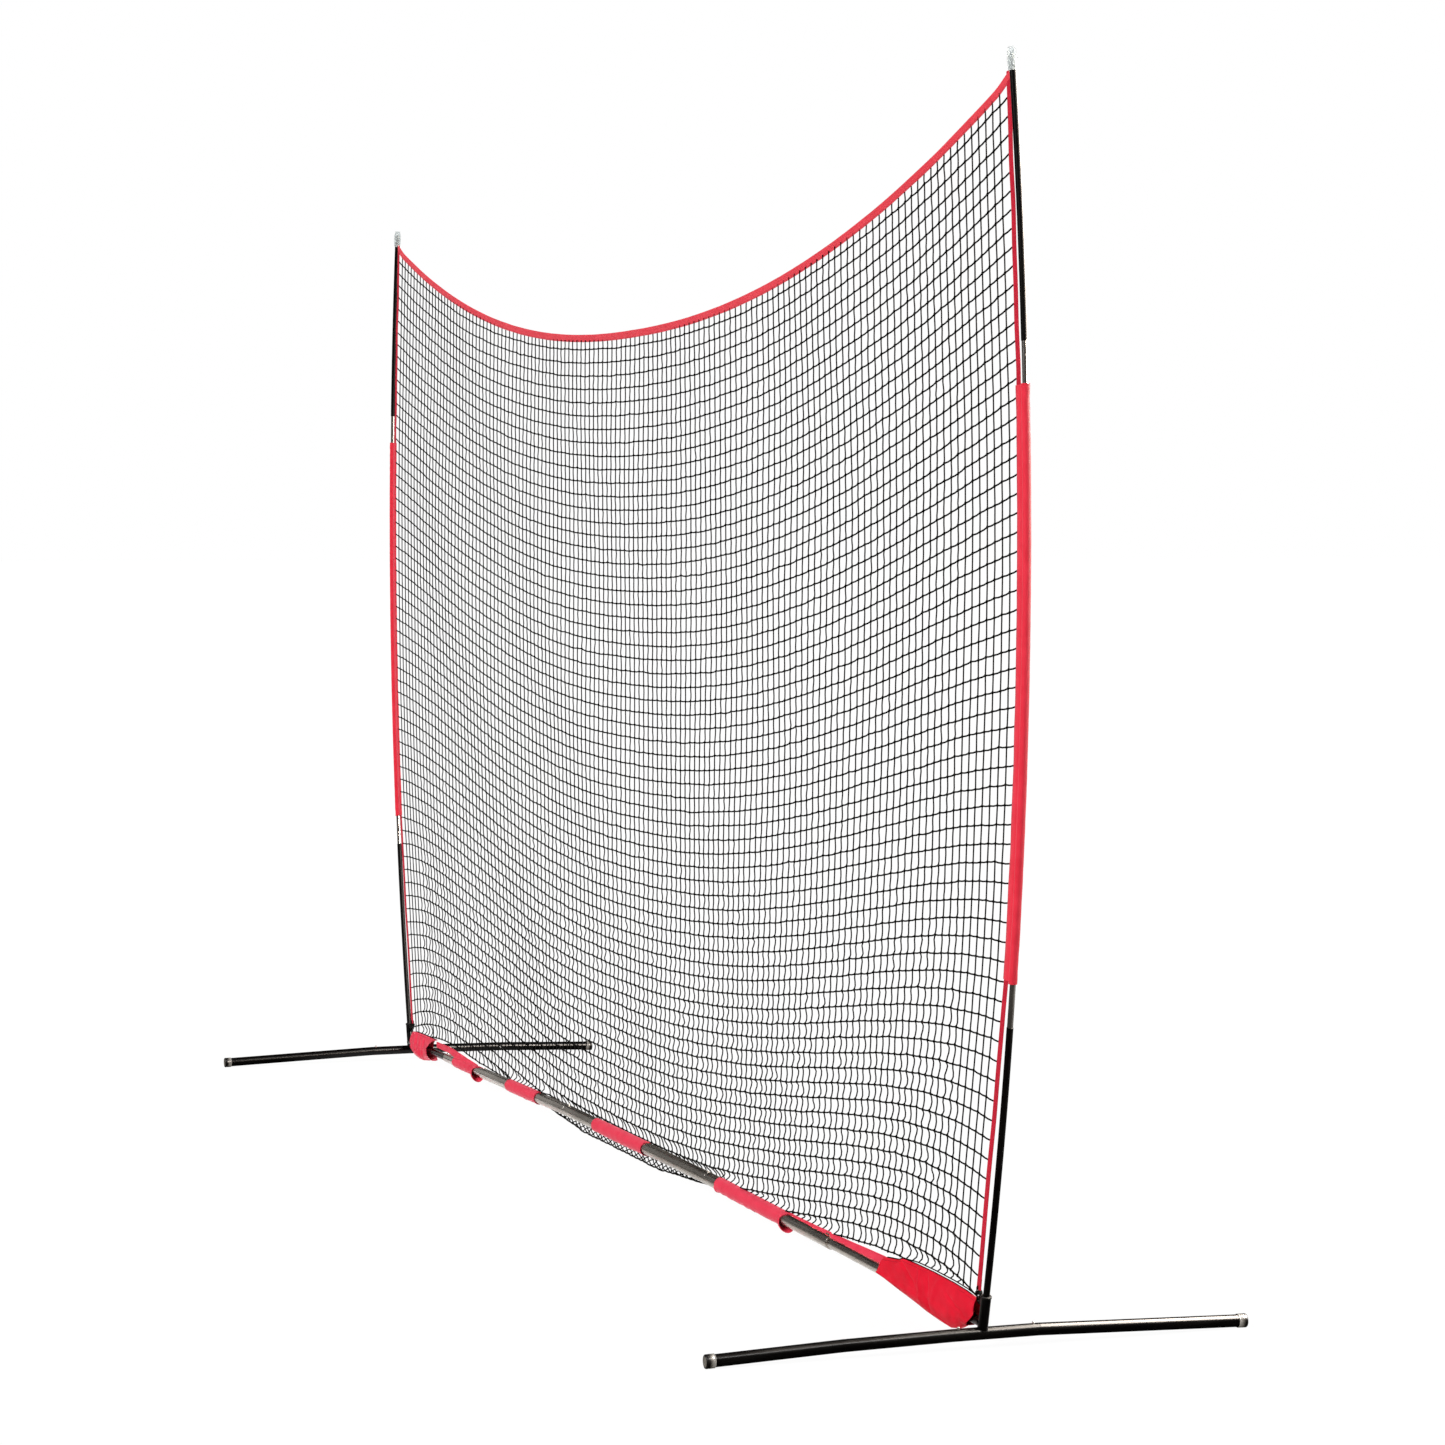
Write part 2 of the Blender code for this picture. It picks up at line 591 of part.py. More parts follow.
def side_webbing(suffix, parent):
    obj = add(f"side_webbing_{suffix}", shared("side_webbing", webbing), "red webbing", parent)
    x, z = webbing_hole()
    across = Vector((1, 0, 0)), Vector((0, 0, 1))
    hole = shared("webbing hole", turned, lambda y: (Vector((x, y, z)), *across),
                  [(-WEBBING_THICKNESS, LOOP_HOLE_RADIUS), (WEBBING_THICKNESS, LOOP_HOLE_RADIUS)])
    combine(obj, add_guide(f"cut_webbing_hole_{suffix}", hole, parent), "DIFFERENCE")
    add(f"corner_loop_{suffix}", shared("corner_loop", corner_loop), "black nylon", parent)


def corner_loop(name):
    """A closed loop of cord through the lug's hole and the webbing's hole."""
    x, high = webbing_hole()
    rings = []
    for middle, start in ((high - LOOP_BEND, 0), (LUG_HEIGHT + LOOP_BEND, 180)):
        for turn in range(start, start + 181, 45):
            a = math.radians(turn)
            out = Vector((0, math.cos(a), math.sin(a)))
            frame = Vector((x, 0, middle)) + out * LOOP_BEND, Vector((1, 0, 0)), out
            rings.append(section(frame, LOOP_CORD_RADIUS, sides=8))
    return loft(name, rings, ring_of_rings=True)


def binding_z(x):
    return BINDING_TOP - BINDING_SAG * (1 - (abs(x) / BINDING_SPAN) ** BINDING_POWER)


def binding_slope(x):
    """Rise over run, outward from the middle."""
    share = abs(x) / BINDING_SPAN
    return BINDING_SAG * BINDING_POWER / BINDING_SPAN * share ** (BINDING_POWER - 1)


def binding_half(x):
    """Half of the binding's height, measured straight up."""
    return BINDING_HEIGHT / 2 * math.sqrt(1 + binding_slope(x) ** 2)


def top_binding(columns):
    end = BINDING_SPAN
    for _ in range(PASSES):
        end = webbing_inside(binding_z(end) + binding_half(end)) - TOUCH
    places = [-end, *columns[1:-1], end]
    half = BINDING_THICKNESS / 2
    rings = [[Vector((x, y, binding_z(x) + sign * binding_half(x)))
              for y, sign in ((-half, -1), (half, -1), (half, 1), (-half, 1))] for x in places]
    add("top_binding", loft("top_binding", rings), "red webbing")


def fabric_top(x):
    """Height of the top of whatever is on the rail at x, snap buttons included."""
    radius = RAIL_RADIUS if abs(x) < OUTER_JOINT else RAIL_OUTER_RADIUS
    tube_top = rail_z(x) + radius
    height = tube_top + max(TOUCH + RAIL_SLEEVE_WALL, BUTTON_PROUD)
    if LEFT_POCKET[-1][0] <= x <= LEFT_WRAP[1]:
        height = tube_top + TOUCH + RAIL_SLEEVE_WALL + LEFT_TAPE_HEIGHT
    if RIGHT_SLEEVE[1] <= x <= RIGHT_POCKET[0][0]:
        height = rail_z(x) + RAIL_RADIUS + TOUCH + RIGHT_TAPE_HEIGHT
    for pocket in (LEFT_POCKET, RIGHT_POCKET):
        if pocket[0][0] <= x <= pocket[-1][0]:
            height = between([(place, high) for place, low, high in pocket], x)
    return height


def net_foot(x, reach):
    """The net's lower edge: clear of all the fabric within reach of x."""
    steps = 24
    near = [x + reach * (2 * step / steps - 1) for step in range(steps + 1)]
    return max(fabric_top(place) for place in near) + TOUCH


def net_points():
    """Middles of the strand crossings, row by row from the bottom, inside the webbing and binding."""
    reach = 2 * BOW_REACH / NET_COLUMNS
    inset = STRAND_HALF + TOUCH
    rows = []
    for row in range(NET_ROWS + 1):
        points = []
        for column in range(NET_COLUMNS + 1):
            share = 2 * column / NET_COLUMNS - 1
            x = share * BOW_REACH
            for _ in range(PASSES):
                low = net_foot(x, reach) + inset
                high = binding_z(x) - binding_half(x) - inset - STRAND_HALF * binding_slope(x)
                z = low + (high - low) * row / NET_ROWS
                side = min(webbing_inside(z - STRAND_HALF), webbing_inside(z + STRAND_HALF))
                x = share * (side - inset)
            points.append(Vector((x, 0, z)))
        rows.append(points)
    return rows


def net_mesh(rows):
    """A flat lattice: a square at each crossing, a bar to each neighbour, and walls between its two faces."""
    half = STRAND_HALF
    skin = bmesh.new()
    corners = {}
    for front, y in ((True, -STRAND_DEPTH / 2), (False, STRAND_DEPTH / 2)):
        for j, row in enumerate(rows):
            for i, point in enumerate(row):
                for dx, dz in ((-1, -1), (1, -1), (1, 1), (-1, 1)):
                    place = (point.x + dx * half, y, point.z + dz * half)
                    corners[front, i, j, dx, dz] = skin.verts.new(place)
    for front in (True, False):
        for j in range(NET_ROWS + 1):
            for i in range(NET_COLUMNS + 1):
                square = [corners[front, i, j, dx, dz] for dx, dz in ((-1, -1), (1, -1), (1, 1), (-1, 1))]
                skin.faces.new(square)
                if i < NET_COLUMNS:
                    skin.faces.new((square[1], corners[front, i + 1, j, -1, -1],
                                    corners[front, i + 1, j, -1, 1], square[2]))
                if j < NET_ROWS:
                    skin.faces.new((square[3], square[2], corners[front, i, j + 1, 1, -1],
                                    corners[front, i, j + 1, -1, -1]))
    walls = []
    for edge in skin.edges:
        if len(edge.link_faces) == 1 and edge.verts[0].co.y < 0:
            walls.append(tuple(edge.verts))
    across = {}
    for (front, *where), vert in corners.items():
        across.setdefault(tuple(where), {})[front] = vert
    behind = {pair[True]: pair[False] for pair in across.values()}
    for first, second in walls:
        skin.faces.new((first, second, behind[second], behind[first]))
    bmesh.ops.recalc_face_normals(skin, faces=skin.faces)
    mesh = bpy.data.meshes.new("net_mesh")
    skin.to_mesh(mesh)
    skin.free()
    add("net_mesh", mesh, "black netting")


# Rail and the fabric on it


def rail():
    arm_bore = RAIL_OUTER_RADIUS - FOOT_WALL
    rail_bore = RAIL_RADIUS - RAIL_WALL
    neck = rail_bore - TOUCH - RAIL_WALL
    made = {}
    for suffix, side in (("right", 1), ("left", -1)):
        for name, seam, end, radius, bore in (
                ("rail_outer", OUTER_JOINT, ARM_JOINT, RAIL_OUTER_RADIUS, arm_bore),
                ("rail_middle", CENTRE_JOINT, OUTER_JOINT, RAIL_RADIUS, rail_bore)):
            start = side * seam
            outside = spigot(start, -side, radius, rail_bore)
            outside.append((side * end, radius))
            step = start + side * RAIL_WALL * 2
            narrow = min(neck, bore)
            inside = [(outside[0][0], narrow), (step, narrow), (step + side * RAIL_WALL, bore),
                      (side * end, bore)]
            mesh = tube(f"{name}_{suffix}", rail_path, outside, inside)
            made[name, suffix] = add(f"{name}_{suffix}", mesh, "silver steel tube")
    ends = (-CENTRE_JOINT, CENTRE_JOINT)
    mesh = tube("rail_centre", rail_path, [(x, RAIL_RADIUS) for x in ends], [(x, rail_bore) for x in ends])
    centre = add("rail_centre", mesh, "silver steel tube")
    for suffix, side in (("right", 1), ("left", -1)):
        joints = (("arm", ARM_JOINT - BUTTON_SETBACK, RAIL_OUTER_RADIUS, arm_bore - TOUCH - ARM_WALL,
                   made["rail_outer", suffix], bpy.data.objects[f"foot_hub_{suffix}"]),
                  ("rail_outer", OUTER_JOINT - BUTTON_SETBACK, RAIL_RADIUS, min(neck, arm_bore),
                   made["rail_middle", suffix], made["rail_outer", suffix]),
                  ("rail_centre", CENTRE_JOINT - BUTTON_SETBACK, RAIL_RADIUS, neck,
                   centre, made["rail_middle", suffix]))
        for name, x, radius, bore, outer, inner in joints:
            fit_button(f"{name}_{suffix}", radius, bore, None, rail_path(side * x)[0],
                       aimed((1, 0, 0), (0, 0, 1)), outer, inner)


def rail_sleeve(name, ends, radius):
    bore = radius + TOUCH
    mesh = tube(name, rail_path, [(x, bore + RAIL_SLEEVE_WALL) for x in ends], [(x, bore) for x in ends])
    return add(name, mesh, "red webbing")


def tape(name, stations):
    """An upright band above the rail. Each station is x and the heights of its two edges."""
    half = TAPE_THICKNESS / 2
    rings = [[Vector((x, y, z)) for y, z in ((-half, low), (half, low), (half, high), (-half, high))]
             for x, low, high in stations]
    return loft(name, rings)


def left_tape():
    """The band that leaves the left pocket, passes over the snap button and runs along the wrap's top."""
    past_button = -(ARM_JOINT - BUTTON_SETBACK - 2 * BUTTON_RADIUS)
    stations = []
    sunk = RAIL_SLEEVE_WALL / 2
    for x, lift in ((LEFT_POCKET[-1][0] + TOUCH, BUTTON_PROUD), (past_button, BUTTON_PROUD),
                    (LEFT_WRAP[0] + TAPE_THICKNESS, sunk), (LEFT_WRAP[1], sunk)):
        tube_top = rail_z(x) + RAIL_OUTER_RADIUS + TOUCH
        stations.append((x, tube_top + lift, tube_top + RAIL_SLEEVE_WALL + LEFT_TAPE_HEIGHT))
    return tape("left_tape", stations)


def right_tape():
    """The band on top of the rail between the right sleeve and the right pocket, lifted over the button."""
    button_x = OUTER_JOINT - BUTTON_SETBACK
    stations = []
    for x, lift in ((RIGHT_SLEEVE[1] + TOUCH, 0), (button_x - 2 * BUTTON_RADIUS, BUTTON_PROUD),
                    (OUTER_JOINT, BUTTON_PROUD), (RIGHT_POCKET[0][0] - TOUCH, 0)):
        foot = rail_z(x) + (RAIL_RADIUS if x <= OUTER_JOINT else RAIL_OUTER_RADIUS) + TOUCH
        stations.append((x, foot + lift, foot + RIGHT_TAPE_HEIGHT))
    return tape("edge_tape_right", stations)


def pocket(name, stations):
    """A baggy tube round the rail near a hub, open at both ends."""
    rings = []
    for shrink, order in ((0, stations), (POCKET_WALL, reversed(stations))):
        for x, low, high in order:
            middle = Vector((x, 0, (low + high) / 2))
            half_depth = POCKET_HALF_DEPTH - shrink
            half_height = (high - low) / 2 - shrink
            ring = []
            for step in range(POCKET_POINTS):
                a = 2 * math.pi * step / POCKET_POINTS
                y, z = (math.copysign(abs(part) ** (2 / POCKET_POWER), part) for part in (math.cos(a), math.sin(a)))
                ring.append(middle + Vector((0, y * half_depth, z * half_height)))
            rings.append(ring)
    add(name, loft(name, rings, ring_of_rings=True), "red webbing")


def rail_fabric():
    rail_sleeve("rail_sleeve_left", LEFT_SLEEVE, RAIL_RADIUS)
    rail_sleeve("rail_sleeve_centre", CENTRE_SLEEVE, RAIL_RADIUS)
    rail_sleeve("rail_sleeve_right", RIGHT_SLEEVE, RAIL_RADIUS)
    pocket("corner_pocket_left", LEFT_POCKET)
    pocket("corner_pocket_right", RIGHT_POCKET)
    wrap = rail_sleeve("rail_wrap_left", LEFT_WRAP, RAIL_OUTER_RADIUS)
    combine(wrap, add_guide("join_left_tape", left_tape()), "UNION")
    add("edge_tape_right", right_tape(), "red webbing")


def build():
    clear_scene()
    for suffix, turn in (("right", 0.0), ("left", math.pi)):
        end = bpy.data.objects.new(f"end_{suffix}", None)
        bpy.context.scene.collection.objects.link(end)
        end.rotation_euler = (0, 0, turn)
        foot(suffix, end)
        pole(suffix, end)
        side_webbing(suffix, end)
    rail()
    rail_fabric()
    rows = net_points()
    top_binding([point.x for point in rows[-1]])
    net_mesh(rows)


build()
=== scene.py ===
import math

import bpy
import numpy as np
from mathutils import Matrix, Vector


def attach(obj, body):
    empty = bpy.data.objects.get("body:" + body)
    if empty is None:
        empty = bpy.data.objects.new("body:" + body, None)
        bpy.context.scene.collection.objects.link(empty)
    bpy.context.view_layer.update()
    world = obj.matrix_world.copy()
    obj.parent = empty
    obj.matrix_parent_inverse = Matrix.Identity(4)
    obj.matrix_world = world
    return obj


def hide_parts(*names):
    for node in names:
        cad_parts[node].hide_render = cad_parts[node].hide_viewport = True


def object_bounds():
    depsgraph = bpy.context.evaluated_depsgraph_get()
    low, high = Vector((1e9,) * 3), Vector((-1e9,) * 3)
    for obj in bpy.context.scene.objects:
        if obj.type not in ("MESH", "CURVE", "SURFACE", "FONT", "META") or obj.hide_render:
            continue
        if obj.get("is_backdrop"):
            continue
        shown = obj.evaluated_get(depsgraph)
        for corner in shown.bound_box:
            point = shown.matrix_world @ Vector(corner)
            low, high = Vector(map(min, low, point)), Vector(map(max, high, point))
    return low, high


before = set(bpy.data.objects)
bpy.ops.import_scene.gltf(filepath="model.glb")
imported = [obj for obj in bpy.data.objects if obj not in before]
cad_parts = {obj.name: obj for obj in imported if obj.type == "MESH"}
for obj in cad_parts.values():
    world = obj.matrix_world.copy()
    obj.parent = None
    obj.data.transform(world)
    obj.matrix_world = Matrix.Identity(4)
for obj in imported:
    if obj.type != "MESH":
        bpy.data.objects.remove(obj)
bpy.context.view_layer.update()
print("frame loaded:", len(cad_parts), "nodes")

mainBody = "frame_and_net"
touch = 0.0003             # gap between pieces that sit in or on each other
unmarked = 0.02            # a value of the attribute mark that is far from any seam
bothEnds = (("right", 1), ("left", -1))


# Shape tools


def rings(sides):
    return 2 * np.pi * np.arange(sides) / sides      # angles of a closed ring


def smooth(value, low, high):
    # 0 below low, 1 above high, with level ends between
    share = np.clip((np.asarray(value, float) - low) / (high - low), 0, 1)
    return share * share * (3 - 2 * share)


def folds(a, b, seed, terms=7):
    # sine waves with seeded directions and phases, added up to about -1 to 1; a and b are in wavelengths
    rng = np.random.default_rng(seed)
    turn, phase, pace = rng.uniform(0, np.pi, terms), rng.uniform(0, 2 * np.pi, terms), rng.uniform(0.6, 1.7, terms)
    a, b = np.broadcast_arrays(np.asarray(a, float), np.asarray(b, float))
    waves = np.sin(2 * np.pi * pace * (a[..., None] * np.cos(turn) + b[..., None] * np.sin(turn)) + phase)
    return waves.mean(-1) * 1.6


def fill(profile, step):
    # adds points to a (station, radius) profile so that no run along it is longer than step
    profile = np.array(profile, float)
    runs = [np.linspace(a, b, max(1, math.ceil(abs(b[0] - a[0]) / step)), endpoint=False)
            for a, b in zip(profile, profile[1:])]
    return np.concatenate([*runs, profile[-1:]])


def sweep(framing, x, y):
    # each point is the path's middle plus x along the first direction and y along the second
    middle, first, second = framing
    return middle[:, None] + first[:, None] * np.asarray(x)[..., None] + second[:, None] * np.asarray(y)[..., None]


def rounded(wave, power):
    # a sine or cosine raised to a power below 1, with its sign kept: it squares off a round outline
    return np.sign(wave) * np.abs(wave) ** power


def shell(grid, closeAlong=False, side=1, mark=0.0):
    # closed skins over a grid of points, or a batch of grids; rows close round, and open ends get a flat face
    # uv is the run in metres, u along the rows' order and v round each row; side -1 turns it half round
    grid = np.asarray(grid, float) * (side, side, 1)
    grid = grid if grid.ndim == 4 else grid[None]
    batch, rows, columns = grid.shape[:3]
    wrap = ((0, 0), (0, int(closeAlong)), (0, 1))
    index = np.pad(np.arange(batch * rows * columns).reshape(batch, rows, columns), wrap, mode="wrap")
    u = np.cumsum(np.linalg.norm(np.roll(grid, -1, 1) - grid, axis=-1).mean(2), 1)
    u = np.pad(u, ((0, 0), (1, 0)))[:, :index.shape[1]]
    v = np.cumsum(np.linalg.norm(np.roll(grid, -1, 2) - grid, axis=-1), 2)
    v = np.pad(np.pad(v, (*wrap[:2], (0, 0)), mode="wrap"), ((0, 0), (0, 0), (1, 0)))
    uv = np.stack([np.broadcast_to(u[:, :, None], v.shape), v], -1)

    def corners(a):
        around = [a[:, :-1, :-1], a[:, :-1, 1:], a[:, 1:, 1:], a[:, 1:, :-1]]
        return np.stack(around, 3).reshape(-1, 4, *a.shape[3:])

    quads, quadUv = corners(index), corners(uv)
    caps, capUv = np.zeros((0, columns), int), np.zeros((0, columns, 2))
    if not closeAlong:
        caps = np.concatenate([index[:, 0, :-1][:, ::-1], index[:, -1, :-1]])
        capUv = np.concatenate([uv[:, 0, :-1][:, ::-1], uv[:, -1, :-1]])
    points = grid.reshape(-1, 3)
    fans = [np.stack([caps[:, 0], caps[:, i], caps[:, i + 1]], 1) for i in range(1, columns - 1)]
    triangles = points[np.concatenate([quads[:, :3], quads[:, [0, 2, 3]], *fans])] - points.mean(0)
    if np.einsum("ij,ij->", triangles[:, 0], np.cross(triangles[:, 1], triangles[:, 2])) < 0:
        quads, quadUv, caps, capUv = (a[:, ::-1] for a in (quads, quadUv, caps, capUv))   # faces point outwards
    mark = np.broadcast_to(np.asarray(mark, float), (batch, rows, columns)).reshape(-1)
    return {"points": points, "quads": quads, "quadUv": quadUv, "caps": caps, "capUv": capUv, "mark": mark}


def buildMesh(name, shells, sharp=38):
    # puts the shells into one mesh, with uv in metres and the point attribute mark
    loops, uv, sizes, start = [], [], [], 0
    for one in shells:
        for faces, faceUv in ((one["quads"], one["quadUv"]), (one["caps"], one["capUv"])):
            loops.append((faces + start).ravel())
            uv.append(faceUv.reshape(-1, 2))
            sizes.append(np.full(len(faces), faces.shape[1]))
        start += len(one["points"])
    points, loops, sizes = np.concatenate([s["points"] for s in shells]), np.concatenate(loops), np.concatenate(sizes)
    mesh = bpy.data.meshes.new(name)
    mesh.vertices.add(len(points))
    mesh.vertices.foreach_set("co", points.astype(np.float32).ravel())
    mesh.loops.add(len(loops))
    mesh.loops.foreach_set("vertex_index", loops.astype(np.int32))
    mesh.polygons.add(len(sizes))
    mesh.polygons.foreach_set("loop_start", (np.cumsum(sizes) - sizes).astype(np.int32))
    mesh.update(calc_edges=True)
    mesh.uv_layers.new(name="UVMap").data.foreach_set("uv", np.concatenate(uv).astype(np.float32).ravel())
    mark = np.concatenate([s["mark"] for s in shells]).astype(np.float32)
    mesh.attributes.new("mark", "FLOAT", "POINT").data.foreach_set("value", mark)
    mesh.shade_smooth()
    mesh.set_sharp_from_angle(angle=math.radians(sharp))
    return mesh


def placed(name, data):
    made = bpy.data.objects.new(name, data)
    bpy.context.scene.collection.objects.link(made)
    return made


def addPiece(name, shells, material, replaced, body=mainBody, sharp=38):
    piece = placed(name, buildMesh(name, shells, sharp))
    piece.data.materials.append(material)
    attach(piece, body)
    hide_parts(*replaced)
    return piece


def drill(piece, cutters):
    # cuts holes with closed cutter shells, and keeps the result as plain mesh
    for number, cutter in enumerate(cutters):
        tool = placed(f"drill{number}", buildMesh("drill", [cutter]))
        cut = piece.modifiers.new("hole", "BOOLEAN")
        cut.object, cut.operation, cut.solver = tool, "DIFFERENCE", "EXACT"
        made = bpy.data.meshes.new_from_object(piece.evaluated_get(bpy.context.evaluated_depsgraph_get()))
        piece.modifiers.clear()
        piece.data = made
        bpy.data.objects.remove(tool)
    piece.data.shade_smooth()
    piece.data.set_sharp_from_angle(angle=math.radians(38))


def turned(framing, profile, sides):
    # a (station, radius) profile carried round a path
    a = rings(sides)
    return sweep(framing(profile[:, 0]), profile[:, 1:] * np.cos(a), profile[:, 1:] * np.sin(a))


def turnedShell(framing, profile, sides=40, step=0.05, side=1, mark=None):
    # a turned solid; its two ends are flat discs
    profile = fill(profile, step)
    return shell(turned(framing, profile, sides), side=side, mark=0.0 if mark is None else mark(profile)[:, None])


def boredShell(framing, outside, inside, sides=40, step=0.05, side=1):
    # a tube wall: the outer profile, then the inner one back, each a list of (station, radius)
    profile = np.concatenate([fill(outside, step), fill(inside, step)[::-1]])
    return shell(turned(framing, profile, sides), closeAlong=True, side=side)


def walledShell(outer, inner, mark=None, side=1):
    # a thin wall between an outer and an inner skin; marks lie on the outer one only
    both = 0.0 if mark is None else np.concatenate([mark, np.full_like(mark, unmarked)])
    return shell(np.concatenate([outer, inner[::-1]]), closeAlong=True, side=side, mark=both)


def tubeShell(framing, low, high, outer, inner, ease=0.0003, **more):
    # a plain tube whose four mouth edges are eased
    outside = [(low, outer - ease), (low + ease, outer), (high - ease, outer), (high, outer - ease)]
    inside = [(low, inner + ease), (low + ease, inner), (high - ease, inner), (high, inner + ease)]
    return boredShell(framing, outside, inside, **more)


def cordShell(path, radius, sides=8, closed=False, side=1, ripple=0.0, waves=0):
    # a round cord along a path of points; ripple swells and thins it waves times along its length
    path = np.asarray(path, float)
    ahead = np.roll(path, -1, 0) - np.roll(path, 1, 0) if closed else np.gradient(path, axis=0)
    ahead /= np.linalg.norm(ahead, axis=-1, keepdims=True)
    first = np.cross(ahead, (0.75, 0.15, 0.65))
    first /= np.linalg.norm(first, axis=-1, keepdims=True)
    second, a = np.cross(ahead, first), rings(sides)
    swell = radius * (1 + ripple * np.cos(2 * np.pi * waves * np.arange(len(path)) / len(path)))[:, None]
    return shell(sweep((path, first, second), swell * np.cos(a), swell * np.sin(a)), closeAlong=closed, side=side)


# Finishes


def hexColour(text):
    # sRGB hex to linear, channel by channel
    channels = [int(text[i:i + 2], 16) / 255 for i in (1, 3, 5)]
    return (*(c / 12.92 if c <= 0.04045 else ((c + 0.055) / 1.055) ** 2.4 for c in channels), 1.0)


def feed(tree, node, inputs):
    for name, value in inputs.items():
        if isinstance(value, bpy.types.NodeSocket):
            tree.links.new(value, node.inputs[name])
        else:
            node.inputs[name].default_value = value
    return node


def addNode(tree, kind, settings=None, inputs=None):
    # a node with its own settings; an input that is given a socket is linked, and any other is set
    node = tree.nodes.new(kind)
    for name, value in (settings or {}).items():
        setattr(node, name, value)
    return feed(tree, node, inputs or {})


def mixColour(tree, share, low, high):
    low, high = (hexColour(one) if isinstance(one, str) else one for one in (low, high))
    return addNode(tree, "ShaderNodeMix", {"data_type": "RGBA"}, {0: share, 6: low, 7: high}).outputs[2]


def mixShader(tree, share, low, high):
    return addNode(tree, "ShaderNodeMixShader", {}, {0: share, 1: low, 2: high}).outputs[0]


def remap(tree, value, low, high, toLow=0.0, toHigh=1.0):
    return addNode(tree, "ShaderNodeMapRange", {}, {"Value": value, "From Min": low, "From Max": high,
                                                    "To Min": toLow, "To Max": toHigh}).outputs[0]


def maths(tree, operation, *values):
    return addNode(tree, "ShaderNodeMath", {"operation": operation}, dict(enumerate(values))).outputs[0]


def noise(tree, place, scale, detail=2.0, **more):
    inputs = {"Vector": place, "Scale": scale, "Detail": detail, **more}
    return addNode(tree, "ShaderNodeTexNoise", {}, inputs).outputs["Fac"]


def ribs(tree, uv, direction, scale, distortion):
    inputs = {"Vector": uv, "Scale": scale, "Distortion": distortion, "Detail": 1.0}
    return addNode(tree, "ShaderNodeTexWave", {"bands_direction": direction}, inputs).outputs["Fac"]


def relief(tree, height, strength, distance):
    inputs = {"Height": height, "Strength": strength, "Distance": distance}
    return addNode(tree, "ShaderNodeBump", {}, inputs).outputs[0]


def meshUv(tree):
    return addNode(tree, "ShaderNodeUVMap", {"uv_map": "UVMap"}).outputs[0]


def meshMark(tree):
    return addNode(tree, "ShaderNodeAttribute", {"attribute_name": "mark"}).outputs["Fac"]


def newMaterial(name, constants):
    material = bpy.data.materials.new(name)
    material.use_nodes = True
    tree = material.node_tree
    shader = tree.nodes["Principled BSDF"]
    feed(tree, shader, constants)
    place = addNode(tree, "ShaderNodeTexCoord").outputs["Object"]
    return material, tree, shader, place


def coatedMaterial(name, look):
    # a smooth hard finish: slow colour and gloss drift, fine grain in the bump, faint marks drawn out along the part
    constants = {"Metallic": look["metal"], "Specular IOR Level": look.get("specular", 0.5)}
    if not look["metal"]:
        constants["IOR"] = look.get("ior", 1.5)
    material, tree, shader, place = newMaterial(name, constants)
    drawn = addNode(tree, "ShaderNodeMapping", {}, {"Vector": place, "Scale": look["draw"]}).outputs[0]
    streak = noise(tree, drawn, 1 / look["streak"], 4.0, Roughness=0.6)
    drift = noise(tree, place, 1 / look["drift"])
    grain = noise(tree, place, 1 / look["grain"])
    share = remap(tree, maths(tree, "MULTIPLY", streak, drift), 0.15, 0.4)
    feed(tree, shader, {"Base Color": mixColour(tree, share, look["colour"], look["worn"]),
                        "Roughness": remap(tree, streak, 0.3, 0.7, *look["rough"]),
                        "Normal": relief(tree, grain, look["bump"], 0.0002)})
    return material


def clothMaterial(name, look):
    # woven cloth: ribs both ways on the piece's own uv, slow mottle, sheen, and sewn dashes where mark is near 0
    material, tree, shader, place = newMaterial(name, {
        "Roughness": look["rough"], "Sheen Weight": look["sheen"], "Sheen Roughness": 0.32,
        "Sheen Tint": hexColour(look["sheenTint"]), "Specular IOR Level": look["specular"], "IOR": 1.5})
    wavesPerMetre, stitchLength, stitchShare, stitchHalf = 0.314, 0.0045, 0.68, 0.0007
    uv = meshUv(tree)
    warp, weft = (ribs(tree, uv, axis, wavesPerMetre / pitch, 0.6) for axis, pitch in zip("XY", look["rib"]))
    weave = maths(tree, "MULTIPLY", warp, weft)
    mottle = noise(tree, place, 1 / look["mottle"], 3.0)
    share = remap(tree, maths(tree, "MULTIPLY_ADD", weave, 0.3, mottle), 0.35, 0.85)
    cloth = mixColour(tree, share, look["deep"], look["colour"])
    line = maths(tree, "COMPARE", meshMark(tree), 0.0, stitchHalf)
    along = addNode(tree, "ShaderNodeSeparateXYZ", {}, {0: uv}).outputs[0]
    turn = maths(tree, "FRACT", maths(tree, "MULTIPLY", along, 1 / stitchLength))
    stitch = maths(tree, "MULTIPLY", line, maths(tree, "LESS_THAN", turn, stitchShare))
    height = maths(tree, "MULTIPLY_ADD", stitch, 1.4, weave)
    feed(tree, shader, {"Base Color": mixColour(tree, stitch, cloth, look["thread"]),
                        "Normal": relief(tree, height, look["bump"], 0.0004)})
    return material


def twineMaterial(name, look):
    # twisted or braided cord: slanted ribs on the cord's own uv, and a dusty lighter fibre colour on their backs
    material, tree, shader, place = newMaterial(name, {
        "Roughness": look["rough"], "Specular IOR Level": 0.08, "IOR": 1.5})
    lay = ribs(tree, meshUv(tree), "DIAGONAL", 0.157 / look["strand"], 0.8)
    mixed = maths(tree, "MULTIPLY", lay, noise(tree, place, 25.0))
    feed(tree, shader, {"Base Color": mixColour(tree, mixed, look["colour"], look["fibre"]),
                        "Normal": relief(tree, lay, 0.5, 0.0003)})
    return material


